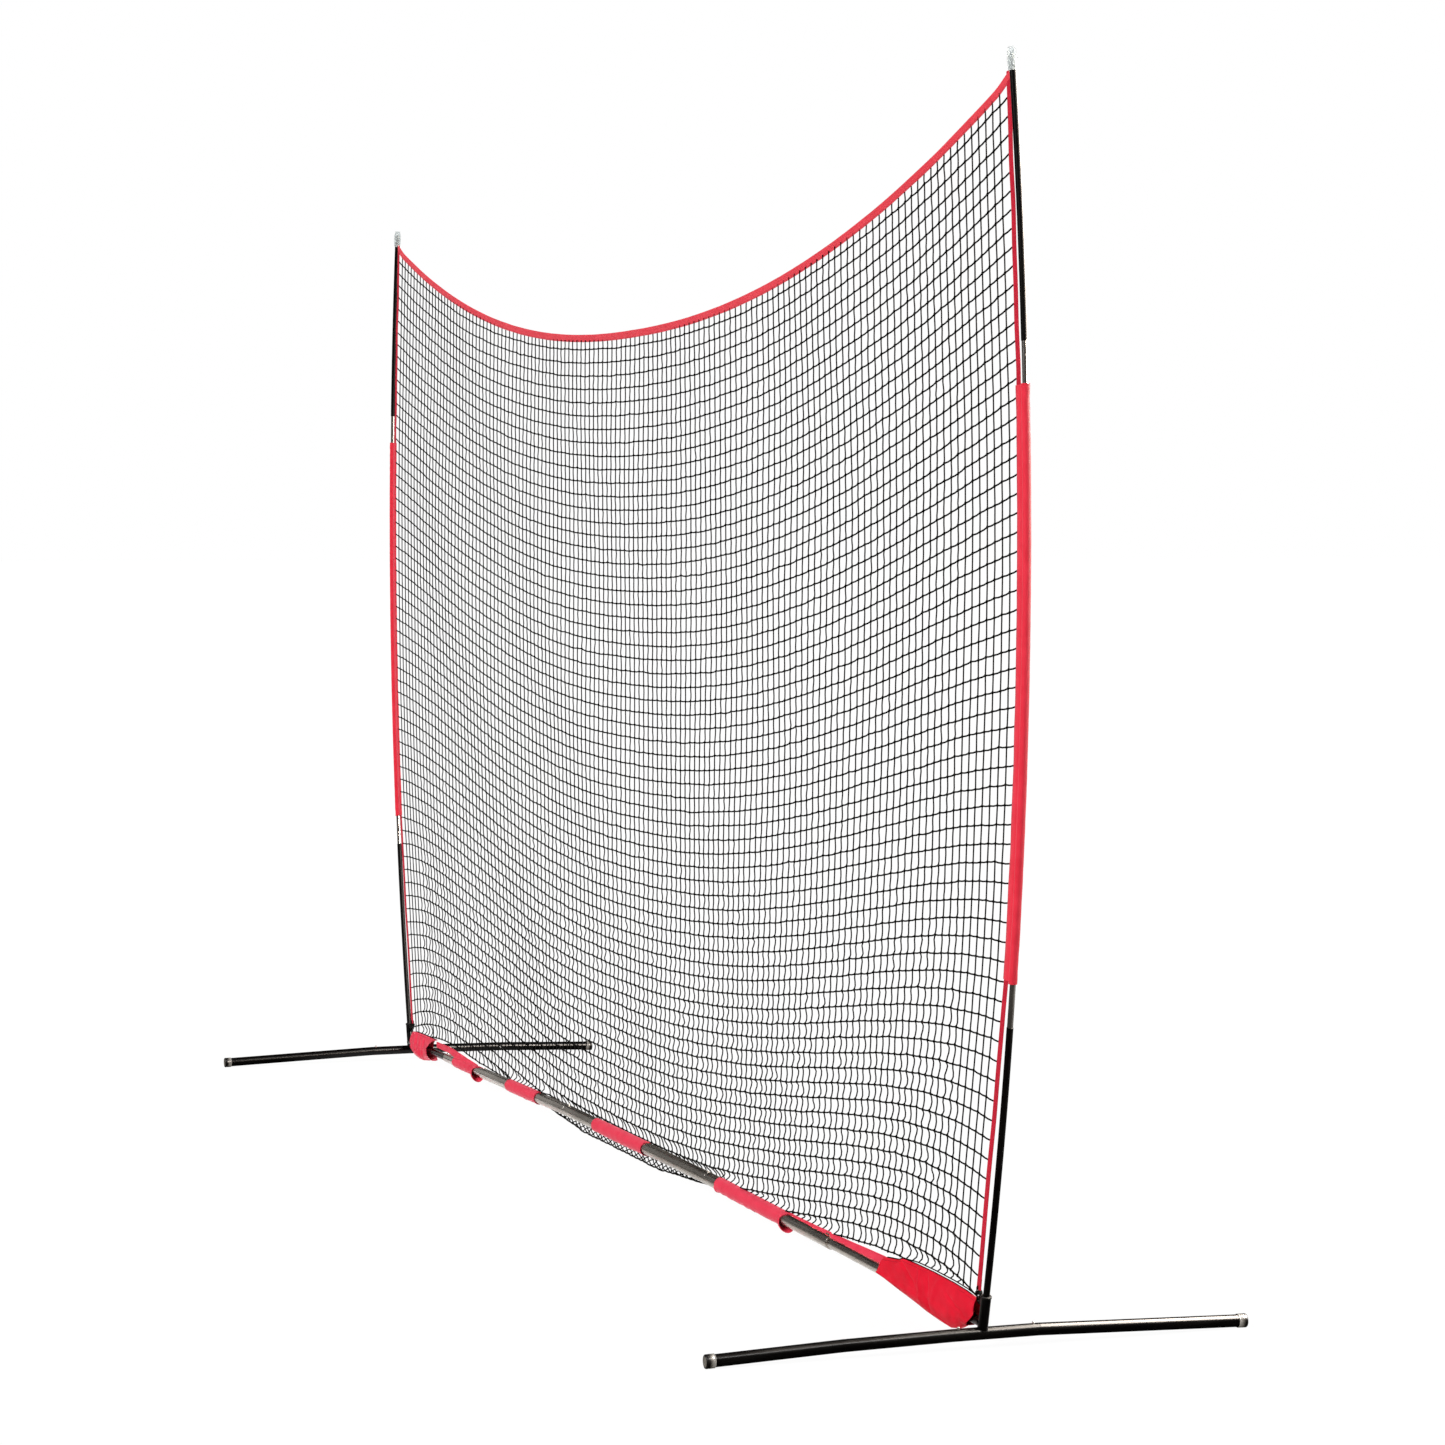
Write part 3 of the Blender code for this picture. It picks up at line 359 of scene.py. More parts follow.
# powder-coated steel tube: deep black, satin gloss with a fine orange peel of about 1 mm, faint rub marks along Y
powderBlack = coatedMaterial("powderCoatedSteel", {
    "colour": "#030202", "worn": "#0c0a09", "metal": 0.0, "rough": (0.20, 0.32), "draw": (1, 0.06, 1),
    "streak": 0.012, "drift": 0.15, "grain": 0.0011, "bump": 0.04, "specular": 0.20})
# the same coat on upright parts
powderSocket = coatedMaterial("powderCoatedSocket", {
    "colour": "#030202", "worn": "#0c0a09", "metal": 0.0, "rough": (0.26, 0.38), "draw": (1, 1, 0.15),
    "streak": 0.010, "drift": 0.10, "grain": 0.0011, "bump": 0.05, "specular": 0.20})
# zinc-plated steel tube: cool grey mirror, softened by fine drawing lines along X
zincTube = coatedMaterial("zincPlatedTube", {
    "colour": "#d8d2cb", "worn": "#b7b0a8", "metal": 1.0, "rough": (0.22, 0.32), "draw": (0.04, 1, 1),
    "streak": 0.006, "drift": 0.20, "grain": 0.0009, "bump": 0.03})
# drawn aluminium rod: paler and duller than the plated tube, lines along Z
drawnRod = coatedMaterial("drawnAluminiumRod", {
    "colour": "#d2ceca", "worn": "#aea9a4", "metal": 1.0, "rough": (0.22, 0.32), "draw": (1, 1, 0.04),
    "streak": 0.005, "drift": 0.15, "grain": 0.0009, "bump": 0.04})
# pultruded fibreglass, black: satin, with long glass-fibre streaks along Z
blackFibreglass = coatedMaterial("blackFibreglass", {
    "colour": "#040202", "worn": "#0e0a08", "metal": 0.0, "rough": (0.32, 0.46), "draw": (1, 1, 0.03),
    "streak": 0.006, "drift": 0.30, "grain": 0.0010, "bump": 0.05, "specular": 0.14})
# spring steel, bright: small clear highlights on the snap buttons
brightButton = coatedMaterial("brightSpringSteel", {
    "colour": "#f2f1ee", "worn": "#dedad3", "metal": 1.0, "rough": (0.28, 0.36), "draw": (1, 1, 1),
    "streak": 0.003, "drift": 0.02, "grain": 0.0006, "bump": 0.02})
# moulded nylon: matt black with a soft sheen
mouldedNylon = coatedMaterial("mouldedNylon", {
    "colour": "#080706", "worn": "#171412", "metal": 0.0, "rough": (0.45, 0.58), "draw": (1, 1, 1),
    "streak": 0.006, "drift": 0.03, "grain": 0.0008, "bump": 0.08, "ior": 1.53, "specular": 0.3})
# moulded PVC plug, grey: slightly translucent look, soft gloss
greyPlug = coatedMaterial("mouldedGreyPlug", {
    "colour": "#c6c7c6", "worn": "#dcdddb", "metal": 0.0, "rough": (0.30, 0.42), "draw": (1, 1, 1),
    "streak": 0.006, "drift": 0.02, "grain": 0.0008, "bump": 0.05, "ior": 1.53})


def capMaterial():
    # moulded PVC cap: charcoal rim, a greyer face where mark is 1, and a pale ring toward its mouth where mark is 2, a
    # painted highlight
    look = {"rim": "#0f0c0a", "scuff": "#241f1b", "face": "#77726a", "mouth": "#a9a49d", "grain": 0.0009}
    material, tree, shader, place = newMaterial("mouldedCap", {"IOR": 1.53, "Specular IOR Level": 0.55})
    scuff = noise(tree, place, 160.0, 4.0)
    grain = noise(tree, place, 1 / look["grain"])
    mark = meshMark(tree)
    colour = mixColour(tree, remap(tree, scuff, 0.45, 0.75), look["rim"], look["scuff"])
    colour = mixColour(tree, mark, colour, look["face"])
    # the pale mouth colour stands in for a highlight ring on the cap's skirt: painted highlight
    colour = mixColour(tree, remap(tree, mark, 1.0, 2.0), colour, look["mouth"])
    feed(tree, shader, {"Base Color": colour, "Roughness": remap(tree, scuff, 0.0, 1.0, 0.22, 0.42),
                        "Normal": relief(tree, grain, 0.06, 0.0002)})
    return material


def vinylMaterial():
    # clear PVC sheet: thin, glossy, a little milky, with pulled ripples about 6 mm apart
    look = {"tint": "#eef1f1", "milk": "#dfe3e3", "ripple": 0.006}
    material, tree, shader, place = newMaterial("clearVinylSheet", {
        "Transmission Weight": 0.9, "IOR": 1.3, "Specular IOR Level": 0.6})
    ripple = noise(tree, place, 1 / look["ripple"], Distortion=0.6)
    feed(tree, shader, {"Base Color": mixColour(tree, ripple, look["tint"], look["milk"]),
                        "Roughness": remap(tree, ripple, 0.0, 1.0, 0.05, 0.22),
                        "Normal": relief(tree, ripple, 0.3, 0.0006)})
    return material


mouldedCap, clearVinyl = capMaterial(), vinylMaterial()
# the cloths are polyester; threads about 0.5 mm apart are too fine to show, so ribs are drawn 1.6 to 2.4 mm apart
sleeveCloth = clothMaterial("polyesterSleeveCloth", {
    "colour": "#f5384c", "deep": "#e62a3e", "thread": "#a80f24", "rough": 0.6, "sheen": 1.0, "sheenTint": "#ffb4bc",
    "specular": 0.12, "rib": (0.0018, 0.0018), "mottle": 0.05, "bump": 0.35})
pocketCloth = clothMaterial("polyesterPocketCloth", {
    "colour": "#ee1834", "deep": "#d81029", "thread": "#a00c22", "rough": 0.6, "sheen": 0.12, "sheenTint": "#ff8090",
    "specular": 0.1, "rib": (0.0018, 0.0018), "mottle": 0.06, "bump": 0.35})
railCloth = clothMaterial("polyesterRailCloth", {
    "colour": "#f63c58", "deep": "#ea304c", "thread": "#b8142c", "rough": 0.6, "sheen": 0.8, "sheenTint": "#ffb0ba",
    "specular": 0.12, "rib": (0.0018, 0.0018), "mottle": 0.05, "bump": 0.35})
# woven edge webbing: ribs across its width, deeper red
ribbedWebbing = clothMaterial("wovenWebbing", {
    "colour": "#d4213a", "deep": "#be142d", "thread": "#94102a", "rough": 0.66, "sheen": 0.3, "sheenTint": "#ff9aa6",
    "specular": 0.1, "rib": (0.0020, 0.0024), "mottle": 0.08, "bump": 0.5})
# folded binding tape: finer ribs, paler red
bindingTape = clothMaterial("foldedBindingTape", {
    "colour": "#f24452", "deep": "#e43644", "thread": "#b01a2e", "rough": 0.6, "sheen": 0.6, "sheenTint": "#ffb0ba",
    "specular": 0.12, "rib": (0.0016, 0.0016), "mottle": 0.08, "bump": 0.4})
# braided polyester twine: matt black with greyer fibres; strands drawn 1.5 mm wide
blackTwine = twineMaterial("braidedTwine", {"colour": "#010101", "fibre": "#080706", "rough": 0.85, "strand": 0.0015})
loopCord = twineMaterial("braidedLoopCord", {"colour": "#040303", "fibre": "#151210", "rough": 0.75, "strand": 0.0018})
print("finishes made")


# Paths


bow = {"reach": 3.003, "height": 1.95, "depth": 0.2597}
pole = {"foot": 0.056, "rodFoot": 0.733, "lowerTop": 0.813, "rodJoint": 1.639, "upperFoot": 2.465, "rodTop": 2.545,
        "upperTop": 3.111, "plugTop": 3.153, "tipTop": 3.168, "radius": 0.0085, "rod": 0.0075, "wall": 0.0007}
centreJoint, outerJoint, armJoint, railEnd = 0.714, 1.724, 2.231, 2.7525
splitJoint, hubShortSide, hubLongSide, footReach = -0.367, -0.078, 0.152, 0.725
footHeight = 0.035
# stations along each line, and the height of the tube's middle there
railLine = ((0.0, centreJoint, outerJoint, armJoint, railEnd), (0.0915, 0.0915, 0.078, 0.070, 0.062))
footLine = ((-footReach, splitJoint, hubShortSide, hubLongSide, footReach),
            (0.017, 0.0304, footHeight, footHeight, 0.017))


def poleX(height):
    return bow["reach"] - bow["depth"] * (np.asarray(height, float) / bow["height"] - 1) ** 2


def poleFrame(height):
    # the bow: its distance out falls off with the square of the height from its widest point
    height = np.asarray(height, float)
    slope = -2 * bow["depth"] / bow["height"] * (height / bow["height"] - 1)
    zero, one = np.zeros_like(height), np.ones_like(height)
    outward = np.stack([one, zero, -slope], -1) / np.sqrt(1 + slope ** 2)[:, None]
    return np.stack([poleX(height), zero, height], -1), outward, np.stack([zero, one, zero], -1)


def tipFrame(height):
    # straight on from the top of the upper section
    middle, outward, across = poleFrame([pole["upperTop"]])
    up = np.cross(outward, across)
    rise = ((np.asarray(height, float) - pole["upperTop"]) / up[0, 2])[:, None]
    return middle + up * rise, np.repeat(outward, len(rise), 0), np.repeat(across, len(rise), 0)


hubX = float(poleX(footHeight))


def railZ(x):
    return np.interp(np.abs(x), *railLine)


def railFrame(x):
    x = np.asarray(x, float)
    zero, one = np.zeros_like(x), np.ones_like(x)
    return np.stack([x, zero, railZ(x)], -1), np.stack([zero, one, zero], -1), np.stack([zero, zero, one], -1)


def footFrame(y):
    y = np.asarray(y, float)
    zero, one = np.zeros_like(y), np.ones_like(y)
    return (np.stack([hubX * one, y, np.interp(y, *footLine)], -1), np.stack([one, zero, zero], -1),
            np.stack([zero, zero, one], -1))


# Snap buttons and their holes


button = {"radius": 0.0036, "proud": 0.005, "dome": 0.002, "leafLength": 0.026, "leafWidth": 0.009, "leaf": 0.0016,
          "hole": 0.0039, "setback": 0.014}


def buttonFrame(centre, along, outward):
    # local X along the tube and local Z outward, as (centre, three directions)
    along, outward = np.array(along, float), np.array(outward, float)
    return np.array(centre, float), along, np.cross(outward, along), outward


def buttonShells(where, tubeRadius, spigotBore, side):
    # a domed pin: an ellipse turned round Z; under it an oval leaf that lies in the bore
    centre, along, across, outward = where
    leafTop = spigotBore * math.cos(math.pi / 6) - touch
    domeFoot = tubeRadius + button["proud"] - button["dome"]
    rise = np.radians([84, 68, 52, 36, 20, 6])
    radii = [*button["radius"] * np.cos(rise), button["radius"], button["radius"]]
    heights = [*(domeFoot + button["dome"] * np.sin(rise)), domeFoot - 0.0004, leafTop - 0.0008]
    a = rings(24)
    pin = [centre + along * r * c + across * r * s + outward * h
           for r, h in zip(radii, heights) for c, s in zip(np.cos(a), np.sin(a))]
    leaf = []
    for shrink, drop in ((0.0006, 0), (0, 0.0004), (0, 0.0012), (0.0006, 0.0016)):
        x = (button["leafLength"] / 2 - shrink) * np.cos(a)
        y = (button["leafWidth"] / 2 - shrink) * np.sin(a)
        leaf.append(centre + along * x[:, None] + across * y[:, None] + outward * (leafTop - drop))
    return [shell(np.array(pin).reshape(len(radii), 24, 3), side=side), shell(np.array(leaf), side=side)]


def holeShell(where, tubeRadius, side):
    # a round cutter from the tube's middle to beyond its wall
    centre, along, across, outward = where
    a = rings(28)
    circle = along * np.cos(a)[:, None] + across * np.sin(a)[:, None]
    grid = [centre + circle * button["hole"] + outward * h for h in (0.0, tubeRadius + 0.006)]
    return shell(np.array(grid), side=side)


foot = {"radius": 0.015875, "wall": 0.0014, "spigot": 0.041}
rail = {"outer": 0.015875, "radius": 0.01905, "wall": 0.0015, "arm": 0.0127, "armWall": 0.0014}
footBore = foot["radius"] - foot["wall"]
armBore = rail["outer"] - foot["wall"]
railBore = rail["radius"] - rail["wall"]
railNeck = railBore - touch - rail["wall"]
footSpigotBore = footBore - touch - foot["wall"]
upward, inward, alongY, alongX = (0, 0, 1), (-1, 0, 0), (0, 1, 0), (1, 0, 0)
setback, splitButton = button["setback"], splitJoint + button["setback"]
buttonPlaces = {
    # name: (frame, tube radius, bore of the spigot inside)
    "hub_split": (buttonFrame((hubX, hubShortSide + setback, footHeight), alongY, upward), foot["radius"],
                  footSpigotBore),
    "hub_whole": (buttonFrame((hubX, hubLongSide - setback, footHeight), alongY, upward), foot["radius"],
                  footSpigotBore),
    "split_leg": (buttonFrame((hubX, splitButton, float(np.interp(splitButton, *footLine))), alongY, inward),
                  foot["radius"], footSpigotBore),
    **{name: (buttonFrame((joint - setback, 0, railZ(joint - setback)), alongX, upward), radius, bore)
       for name, joint, radius, bore in (("arm", armJoint, rail["outer"], armBore - touch - rail["armWall"]),
                                         ("rail_outer", outerJoint, rail["radius"], min(railNeck, armBore)),
                                         ("rail_centre", centreJoint, rail["radius"], railNeck))},
}


def holes(side, *names):
    return [holeShell(buttonPlaces[name][0], buttonPlaces[name][1], side) for name in names]


for end, side in bothEnds:
    for name, (where, tubeRadius, bore) in buttonPlaces.items():
        node = f"button_{name}_{end}"
        addPiece(f"{name}_snap_{end}", buttonShells(where, tubeRadius, bore, side), brightButton,
                 [node], body=node, sharp=50)
print("snap buttons made")


# Feet: hub, legs and caps


hub = {"socket": 0.0127, "socketBore": 0.0112, "socketTop": 0.127, "armHeight": 0.0625,
       "lugHeight": 0.1145, "lugHalf": 0.0105, "lugThickness": 0.003, "lugHole": 0.0033, "bead": 0.0017}
webbing = {"foot": 0.139, "footX": 2.7305, "width": 0.025, "thickness": 0.002, "holeRise": 0.010}


def spigotProfile(seam, away, outer, bore):
    # a male end: its eased tip, its step at the seam, and the full radius beyond
    tip, radius = seam - away * foot["spigot"], bore - touch
    return [(tip, radius - 0.0008), (tip + away * 0.0012, radius), (seam + away * touch, radius),
            (seam + away * touch, outer - 0.0004), (seam + away * (touch + 0.0004), outer)]


def legShell(seam, end, side):
    away = 1 if end > seam else -1
    neck = footBore - touch - foot["wall"]
    outside = [*spigotProfile(seam, away, foot["radius"], footBore),
               (end - away * 0.0004, foot["radius"]), (end, foot["radius"] - 0.0004)]
    inside = [(outside[0][0], neck), (seam + away * 0.0028, neck), (seam + away * 0.0042, footBore), (end, footBore)]
    return boredShell(footFrame, outside, inside, sides=48, step=0.04, side=side)


def capShell(direction, side):
    # a deep cap: recessed face, rounded rim, a groove, a turned lip at its mouth, and a blind bore
    end, outer, bore = direction * footReach, 0.0177, foot["radius"] + touch
    steps = [(0.0010, 0.0040), (0.0010, 0.0116), (0.0002, 0.0124), (0.0, 0.0134), (0.0, 0.0156), (0.0005, 0.0169),
             (0.0016, outer), (0.0060, outer), (0.0066, outer - 0.0006), (0.0078, outer - 0.0006), (0.0084, outer),
             (0.0190, outer), (0.0196, outer - 0.0003), (0.0205, outer), (0.0234, outer), (0.0240, outer - 0.0006),
             (0.0240, bore), (0.0030, bore), (0.0030, bore * 0.5)]
    profile = [(end - direction * back, radius) for back, radius in steps]

    def capMark(p):
        # 1 on the recessed face; 2 on the skirt toward the mouth, where the cap's material paints a pale highlight ring
        back = footReach - np.abs(p[:, 0])
        return np.select([(p[:, 1] < 0.0125) & (back < 0.0015), (back > 0.011) & (p[:, 1] > bore)], [1.0, 2.0], 0.0)

    made = turnedShell(footFrame, profile, sides=48, side=side, mark=capMark)
    made["points"][:, 2] = np.maximum(made["points"][:, 2], 0.0)      # stands flat on the ground
    return made


def socketShell(side):
    # the leaning pole socket with its blind bore
    outer, bore, low, top = hub["socket"], hub["socketBore"], 0.036, hub["socketTop"]
    profile = [(low, outer), (top - 0.0005, outer), (top, outer - 0.0005), (top, bore + 0.0003), (top - 0.0004, bore),
               (pole["foot"] - touch, bore), (pole["foot"] - touch, bore * 0.5)]
    return turnedShell(poleFrame, profile, sides=48, step=0.02, side=side)


def socketBead(side):
    # a weld along the saddle where the leaning socket meets the ground tube
    a = rings(72)
    height = np.full(72, 0.05)
    for _ in range(8):
        middle, outward, across = poleFrame(height)
        ring = middle + outward * (hub["socket"] * np.cos(a))[:, None] + across * (hub["socket"] * np.sin(a))[:, None]
        level = footHeight + np.sqrt(np.maximum(foot["radius"] ** 2 - (ring[:, 0] - hubX) ** 2, 0))
        height = height + level - ring[:, 2]
    return cordShell(ring, hub["bead"], closed=True, side=side, ripple=0.16, waves=24)


def armBead(side):
    # a weld where the round rail arm meets the socket's side
    a = rings(64)
    y, z = rail["arm"] * np.cos(a), hub["armHeight"] + rail["arm"] * np.sin(a)
    x = poleX(z) - np.sqrt(np.maximum(hub["socket"] ** 2 - y ** 2, 0))
    return cordShell(np.stack([x, y, z], -1), hub["bead"], closed=True, side=side, ripple=0.16, waves=22)


def lugShell(side):
    # a plate with one eye: the outline is a half disc drawn out straight to the socket
    a = rings(48)
    reach = np.minimum(hub["lugHalf"] / np.maximum(np.abs(np.sin(a)), 0.02), 0.0255 / np.maximum(np.cos(a), 0.02))
    reach = np.where(np.cos(a) < 0, np.minimum(reach, 0.0098), reach)
    half, hole, ease = hub["lugThickness"] / 2, hub["lugHole"], 0.0004
    rows = [(1, -ease, -half), (1, 0, -half + ease), (1, 0, half - ease), (1, -ease, half),
            (0, ease, half), (0, 0, half - ease), (0, 0, -half + ease), (0, ease, -half)]
    grid = []
    for outer, change, y in rows:
        r = (reach if outer else hole) + change
        grid.append(np.stack([webbing["footX"] + r * np.cos(a), np.full(48, y), hub["lugHeight"] + r * np.sin(a)], -1))
    return shell(np.array(grid), closeAlong=True, side=side)


def armShell(side):
    seam, bore = armJoint, armBore
    outside = [*spigotProfile(seam, 1, rail["arm"], bore), (hubX - 0.004, rail["arm"])]
    inside = [(outside[0][0], bore - touch - rail["armWall"]), (seam + 0.001, bore - touch - rail["armWall"]),
              (seam + 0.004, rail["arm"] - rail["armWall"]), (hubX - 0.004, rail["arm"] - rail["armWall"])]
    return boredShell(railFrame, outside, inside, side=side)


legEnd = 0.7217            # the legs stop just short of the caps' inner faces
for end, side in bothEnds:
    hubNode = [f"foot_hub_{end}"]
    ground = tubeShell(footFrame, hubShortSide, hubLongSide, foot["radius"], footBore, ease=0.0005, sides=48, side=side)
    tube = addPiece(f"hub_tube_{end}", [ground], powderBlack, hubNode)
    drill(tube, holes(side, "hub_split", "hub_whole"))
    addPiece(f"hub_socket_{end}", [socketShell(side), socketBead(side), armBead(side), lugShell(side)],
             powderSocket, hubNode)
    arm = addPiece(f"hub_rail_arm_{end}", [armShell(side)], powderBlack, hubNode)
    drill(arm, holes(side, "arm"))
    for name, seam, stop, drilled in (
            ("split_leg_inner", hubShortSide, splitJoint, ("hub_split", "split_leg")),
            ("split_leg_outer", splitJoint, -legEnd, ("split_leg",)),
            ("whole_leg", hubLongSide, legEnd, ("hub_whole",))):
        leg = addPiece(f"{name}_tube_{end}", [legShell(seam, stop, side)], powderBlack, [f"{name}_{end}"])
        drill(leg, holes(side, *drilled))
    for name, direction in (("split_leg_cap", -1), ("whole_leg_cap", 1)):
        addPiece(f"{name}_moulding_{end}", [capShell(direction, side)], mouldedCap, [f"{name}_{end}"])
print("feet made")


# Poles


def bushShell(side):
    # a sleeve in the socket with a rounded flange on its rim
    seat, radius, flange = hub["socketTop"] + touch, hub["socketBore"] - touch, 0.0138
    outside = [(0.085, radius), (seat, radius), (seat, flange - 0.0008), (seat + 0.0008, flange),
               (seat + 0.0046, flange), (seat + 0.0058, flange - 0.0010), (seat + 0.006, flange - 0.0022)]
    inside = [(0.085, pole["radius"] + touch), (seat + 0.006, pole["radius"] + touch)]
    return boredShell(poleFrame, outside, inside, sides=48, step=0.01, side=side)


def plugShell(side):
    # the grey plug: a stem in the pole, a ribbed head, and a domed top
    top, seat, radius = pole["plugTop"], pole["upperTop"] + touch, pole["radius"]
    profile = [(pole["upperTop"] - 0.040, 0.0066), (pole["upperTop"] - 0.0388, pole["rod"] - touch),
               (seat, pole["rod"] - touch), (seat, radius - 0.0004), (seat + 0.0004, radius)]
    for rise in (0.006, 0.0085, 0.027, 0.0295):
        profile += [(seat + rise + along, radius - deep)
                    for along, deep in ((0.0, 0.0), (0.0004, 0.0007), (0.0012, 0.0007), (0.0016, 0.0))]
    turn = np.radians(np.arange(0, 91, 15))
    profile += [(top - 0.004 + 0.004 * math.sin(a), radius - 0.0042 + 0.0042 * math.cos(a)) for a in turn]
    profile.append((top, 0.001))
    return turnedShell(tipFrame, profile, side=side)


def vinylShell(side):
    # a clear pocket over the plug: an oval with pinched side seams, drawn in at the top to a curled rim
    low, top = pole["upperTop"] + 0.0006, pole["tipTop"]
    wall, columns, rows = 0.0006, 56, 34
    a, share = rings(columns), np.linspace(0, 1, rows)[:, None]
    swell = np.sin(np.pi * share)
    width = 0.0112 + 0.0013 * swell - 0.0012 * smooth(share, 0.86, 0.97) + 0.0010 * smooth(share, 0.97, 1)
    depth = 0.0106 + 0.0016 * swell - 0.0024 * smooth(share, 0.76, 0.93) + 0.0012 * smooth(share, 0.95, 1)
    seam = 0.0010 * np.abs(np.cos(a)) ** 14                            # the welded side seams stand out as ridges
    ripple = 0.00025 * folds(share * 4, np.cos(a)[None] * 2, 21)
    x, y = (width + ripple + seam) * np.cos(a), (depth + ripple) * np.sin(a)
    height = low + (top - low) * share[:, 0]
    outer = sweep(tipFrame(height), x, y)
    shrink = 1 - wall / np.hypot(x, y)
    inner = sweep(tipFrame(height), x * shrink, y * shrink)
    return walledShell(outer, inner, side=side)


for end, side in bothEnds:
    bore, rodBore = pole["rod"] + touch, pole["rod"] - pole["wall"]
    for name, material, slotName, low, high, outer, inner in (
            ("pole_lower", blackFibreglass, "pole_black", pole["foot"], pole["lowerTop"], pole["radius"], bore),
            ("pole_rod_lower", drawnRod, "pole_silver", pole["rodFoot"], pole["rodJoint"] - touch / 2, pole["rod"],
             rodBore),
            ("pole_rod_upper", drawnRod, "pole_silver", pole["rodJoint"] + touch / 2, pole["rodTop"], pole["rod"],
             rodBore),
            ("pole_upper", blackFibreglass, "pole_black", pole["upperFoot"], pole["upperTop"], pole["radius"], bore)):
        section = tubeShell(poleFrame, low, high, outer, inner, ease=0.0002, step=0.04, side=side)
        addPiece(f"{name}_section_{end}", [section], material, [f"{name}_{end}"])
    addPiece(f"socket_bush_moulding_{end}", [bushShell(side)], mouldedNylon, [f"socket_bush_{end}"])
    addPiece(f"tip_plug_moulding_{end}", [plugShell(side)], greyPlug, [f"pole_tip_plug_{end}"])
    addPiece(f"tip_pocket_vinyl_{end}", [vinylShell(side)], clearVinyl, [f"tip_pocket_{end}"])
    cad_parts[f"pole_ferrule_{end}"].material_slots[0].material = drawnRod
print("poles made")


# Rail tubes


for end, side in bothEnds:
    for name, seam, stop, radius, bore, drilled in (
            ("rail_outer", outerJoint, armJoint, rail["outer"], armBore, ("arm", "rail_outer")),
            ("rail_middle", centreJoint, outerJoint, rail["radius"], railBore, ("rail_outer", "rail_centre"))):
        narrow = min(railNeck, bore)
        outside = [*spigotProfile(seam, 1, radius, railBore), (stop - 0.0004, radius), (stop, radius - 0.0004)]
        inside = [(outside[0][0], narrow), (seam + 0.003, narrow), (seam + 0.0045, bore), (stop, bore)]
        piece = addPiece(f"{name}_tube_{end}", [boredShell(railFrame, outside, inside, sides=48, side=side)],
                         zincTube, [f"{name}_{end}"])
        drill(piece, holes(side, *drilled))
centre = tubeShell(railFrame, -centreJoint, centreJoint, rail["radius"], railBore, ease=0.0004, sides=48)
piece = addPiece("rail_centre_tube", [centre], zincTube, ["rail_centre"])
drill(piece, holes(1, "rail_centre") + holes(-1, "rail_centre"))
print("rail made")


# Pole sleeves, side webbing and top binding


sleeve = {"foot": 0.921, "top": 2.363, "radius": 0.0106, "flap": 0.0272, "flapEnd": 0.0548, "wall": 0.0009,
          "rows": 150}


def poleSleeveShell(side, seed):
    # round the rod a loose tube; toward the net its two layers lie together as a flat flap, with the webbing sewn in
    # the outline is a circle cut open at the flap, and small folds run mostly across it, deeper near both ends
    turn = np.radians(np.linspace(-158, 158, 34))
    flap = np.array([-0.0125, -0.0150, -0.0190, -0.0250, -0.0285, -0.0400, -0.0500, -0.0538])
    half = np.array([0.0013, 0.0013, 0.0014, 0.0018, 0.0028, 0.0028, 0.0028, 0.0018])
    x = np.concatenate([sleeve["radius"] * np.cos(turn), flap, [-sleeve["flapEnd"]], flap[::-1]])
    y = np.concatenate([sleeve["radius"] * np.sin(turn), half, [0.0], -half[::-1]])
    height = np.linspace(sleeve["foot"], sleeve["top"], sleeve["rows"])
    share = ((height - height[0]) / (height[-1] - height[0]))[:, None]
    column = np.arange(len(x))[None] / len(x)
    ends = 0.35 + smooth(np.abs(share - 0.5), 0.36, 0.5)
    round_ = np.clip(1 - np.abs(np.arange(len(x)) - 16.5) / 17, 0, 1)[None]
    swell = 1 + 0.085 * ends * folds(share * 34, column * 2.2, seed) * np.sqrt(round_)
    swell = swell + 0.05 * smooth(share, 0.985, 1.0) * round_
    flutter = 0.0005 * folds(share * 9, x * 30, seed + 1) * smooth(-x, 0.012, 0.020)
    outerX, outerY = x * swell, y * swell + flutter
    outer = sweep(poleFrame(height), outerX, outerY)
    lean = np.hypot(outerX, outerY)
    hold = np.clip(1 - sleeve["wall"] / lean, (pole["rod"] + touch) / lean, 1)
    inside = np.hypot(x, y)[None] < 0.0118
    innerX = np.where(inside, outerX * hold, np.maximum(x, -0.0540))
    innerY = np.where(inside, outerY * hold, flutter + np.sign(y) * np.where(x > -0.026, 0.0004, np.abs(y) - 0.0009))
    inner = sweep(poleFrame(height), innerX, innerY)
    seam = np.minimum(np.abs(x + 0.0150), np.abs(x + 0.0500))
    mark = np.broadcast_to(np.where(np.abs(y) < 0.003, seam, unmarked)[None], (len(height), len(x)))
    return walledShell(outer, inner, mark, side)


def webbingLine(height):
    # middle of the side webbing and the direction across it: free at the foot, beside the sleeve, then to the tip
    knots = np.array([webbing["foot"], *np.linspace(sleeve["foot"], sleeve["top"], 60), pole["upperTop"] + 0.0075])
    middle, outward, _ = poleFrame(knots[:-1])
    middle = middle - outward * (sleeve["flap"] + touch + webbing["width"] / 2)
    middle[0], outward[0] = (webbing["footX"], 0, webbing["foot"]), (1, 0, 0)
    tip, tipOutward, _ = tipFrame([knots[-1]])
    middle = np.concatenate([middle, tip - tipOutward * (0.0125 + touch + webbing["width"] / 2)])
    outward = np.concatenate([outward, tipOutward])
    place = np.stack([np.interp(height, middle[:, 2], middle[:, i]) for i in range(3)], -1)
    facing = np.stack([np.interp(height, middle[:, 2], outward[:, i]) for i in range(3)], -1)
    return place, facing / np.linalg.norm(facing, axis=-1, keepdims=True)


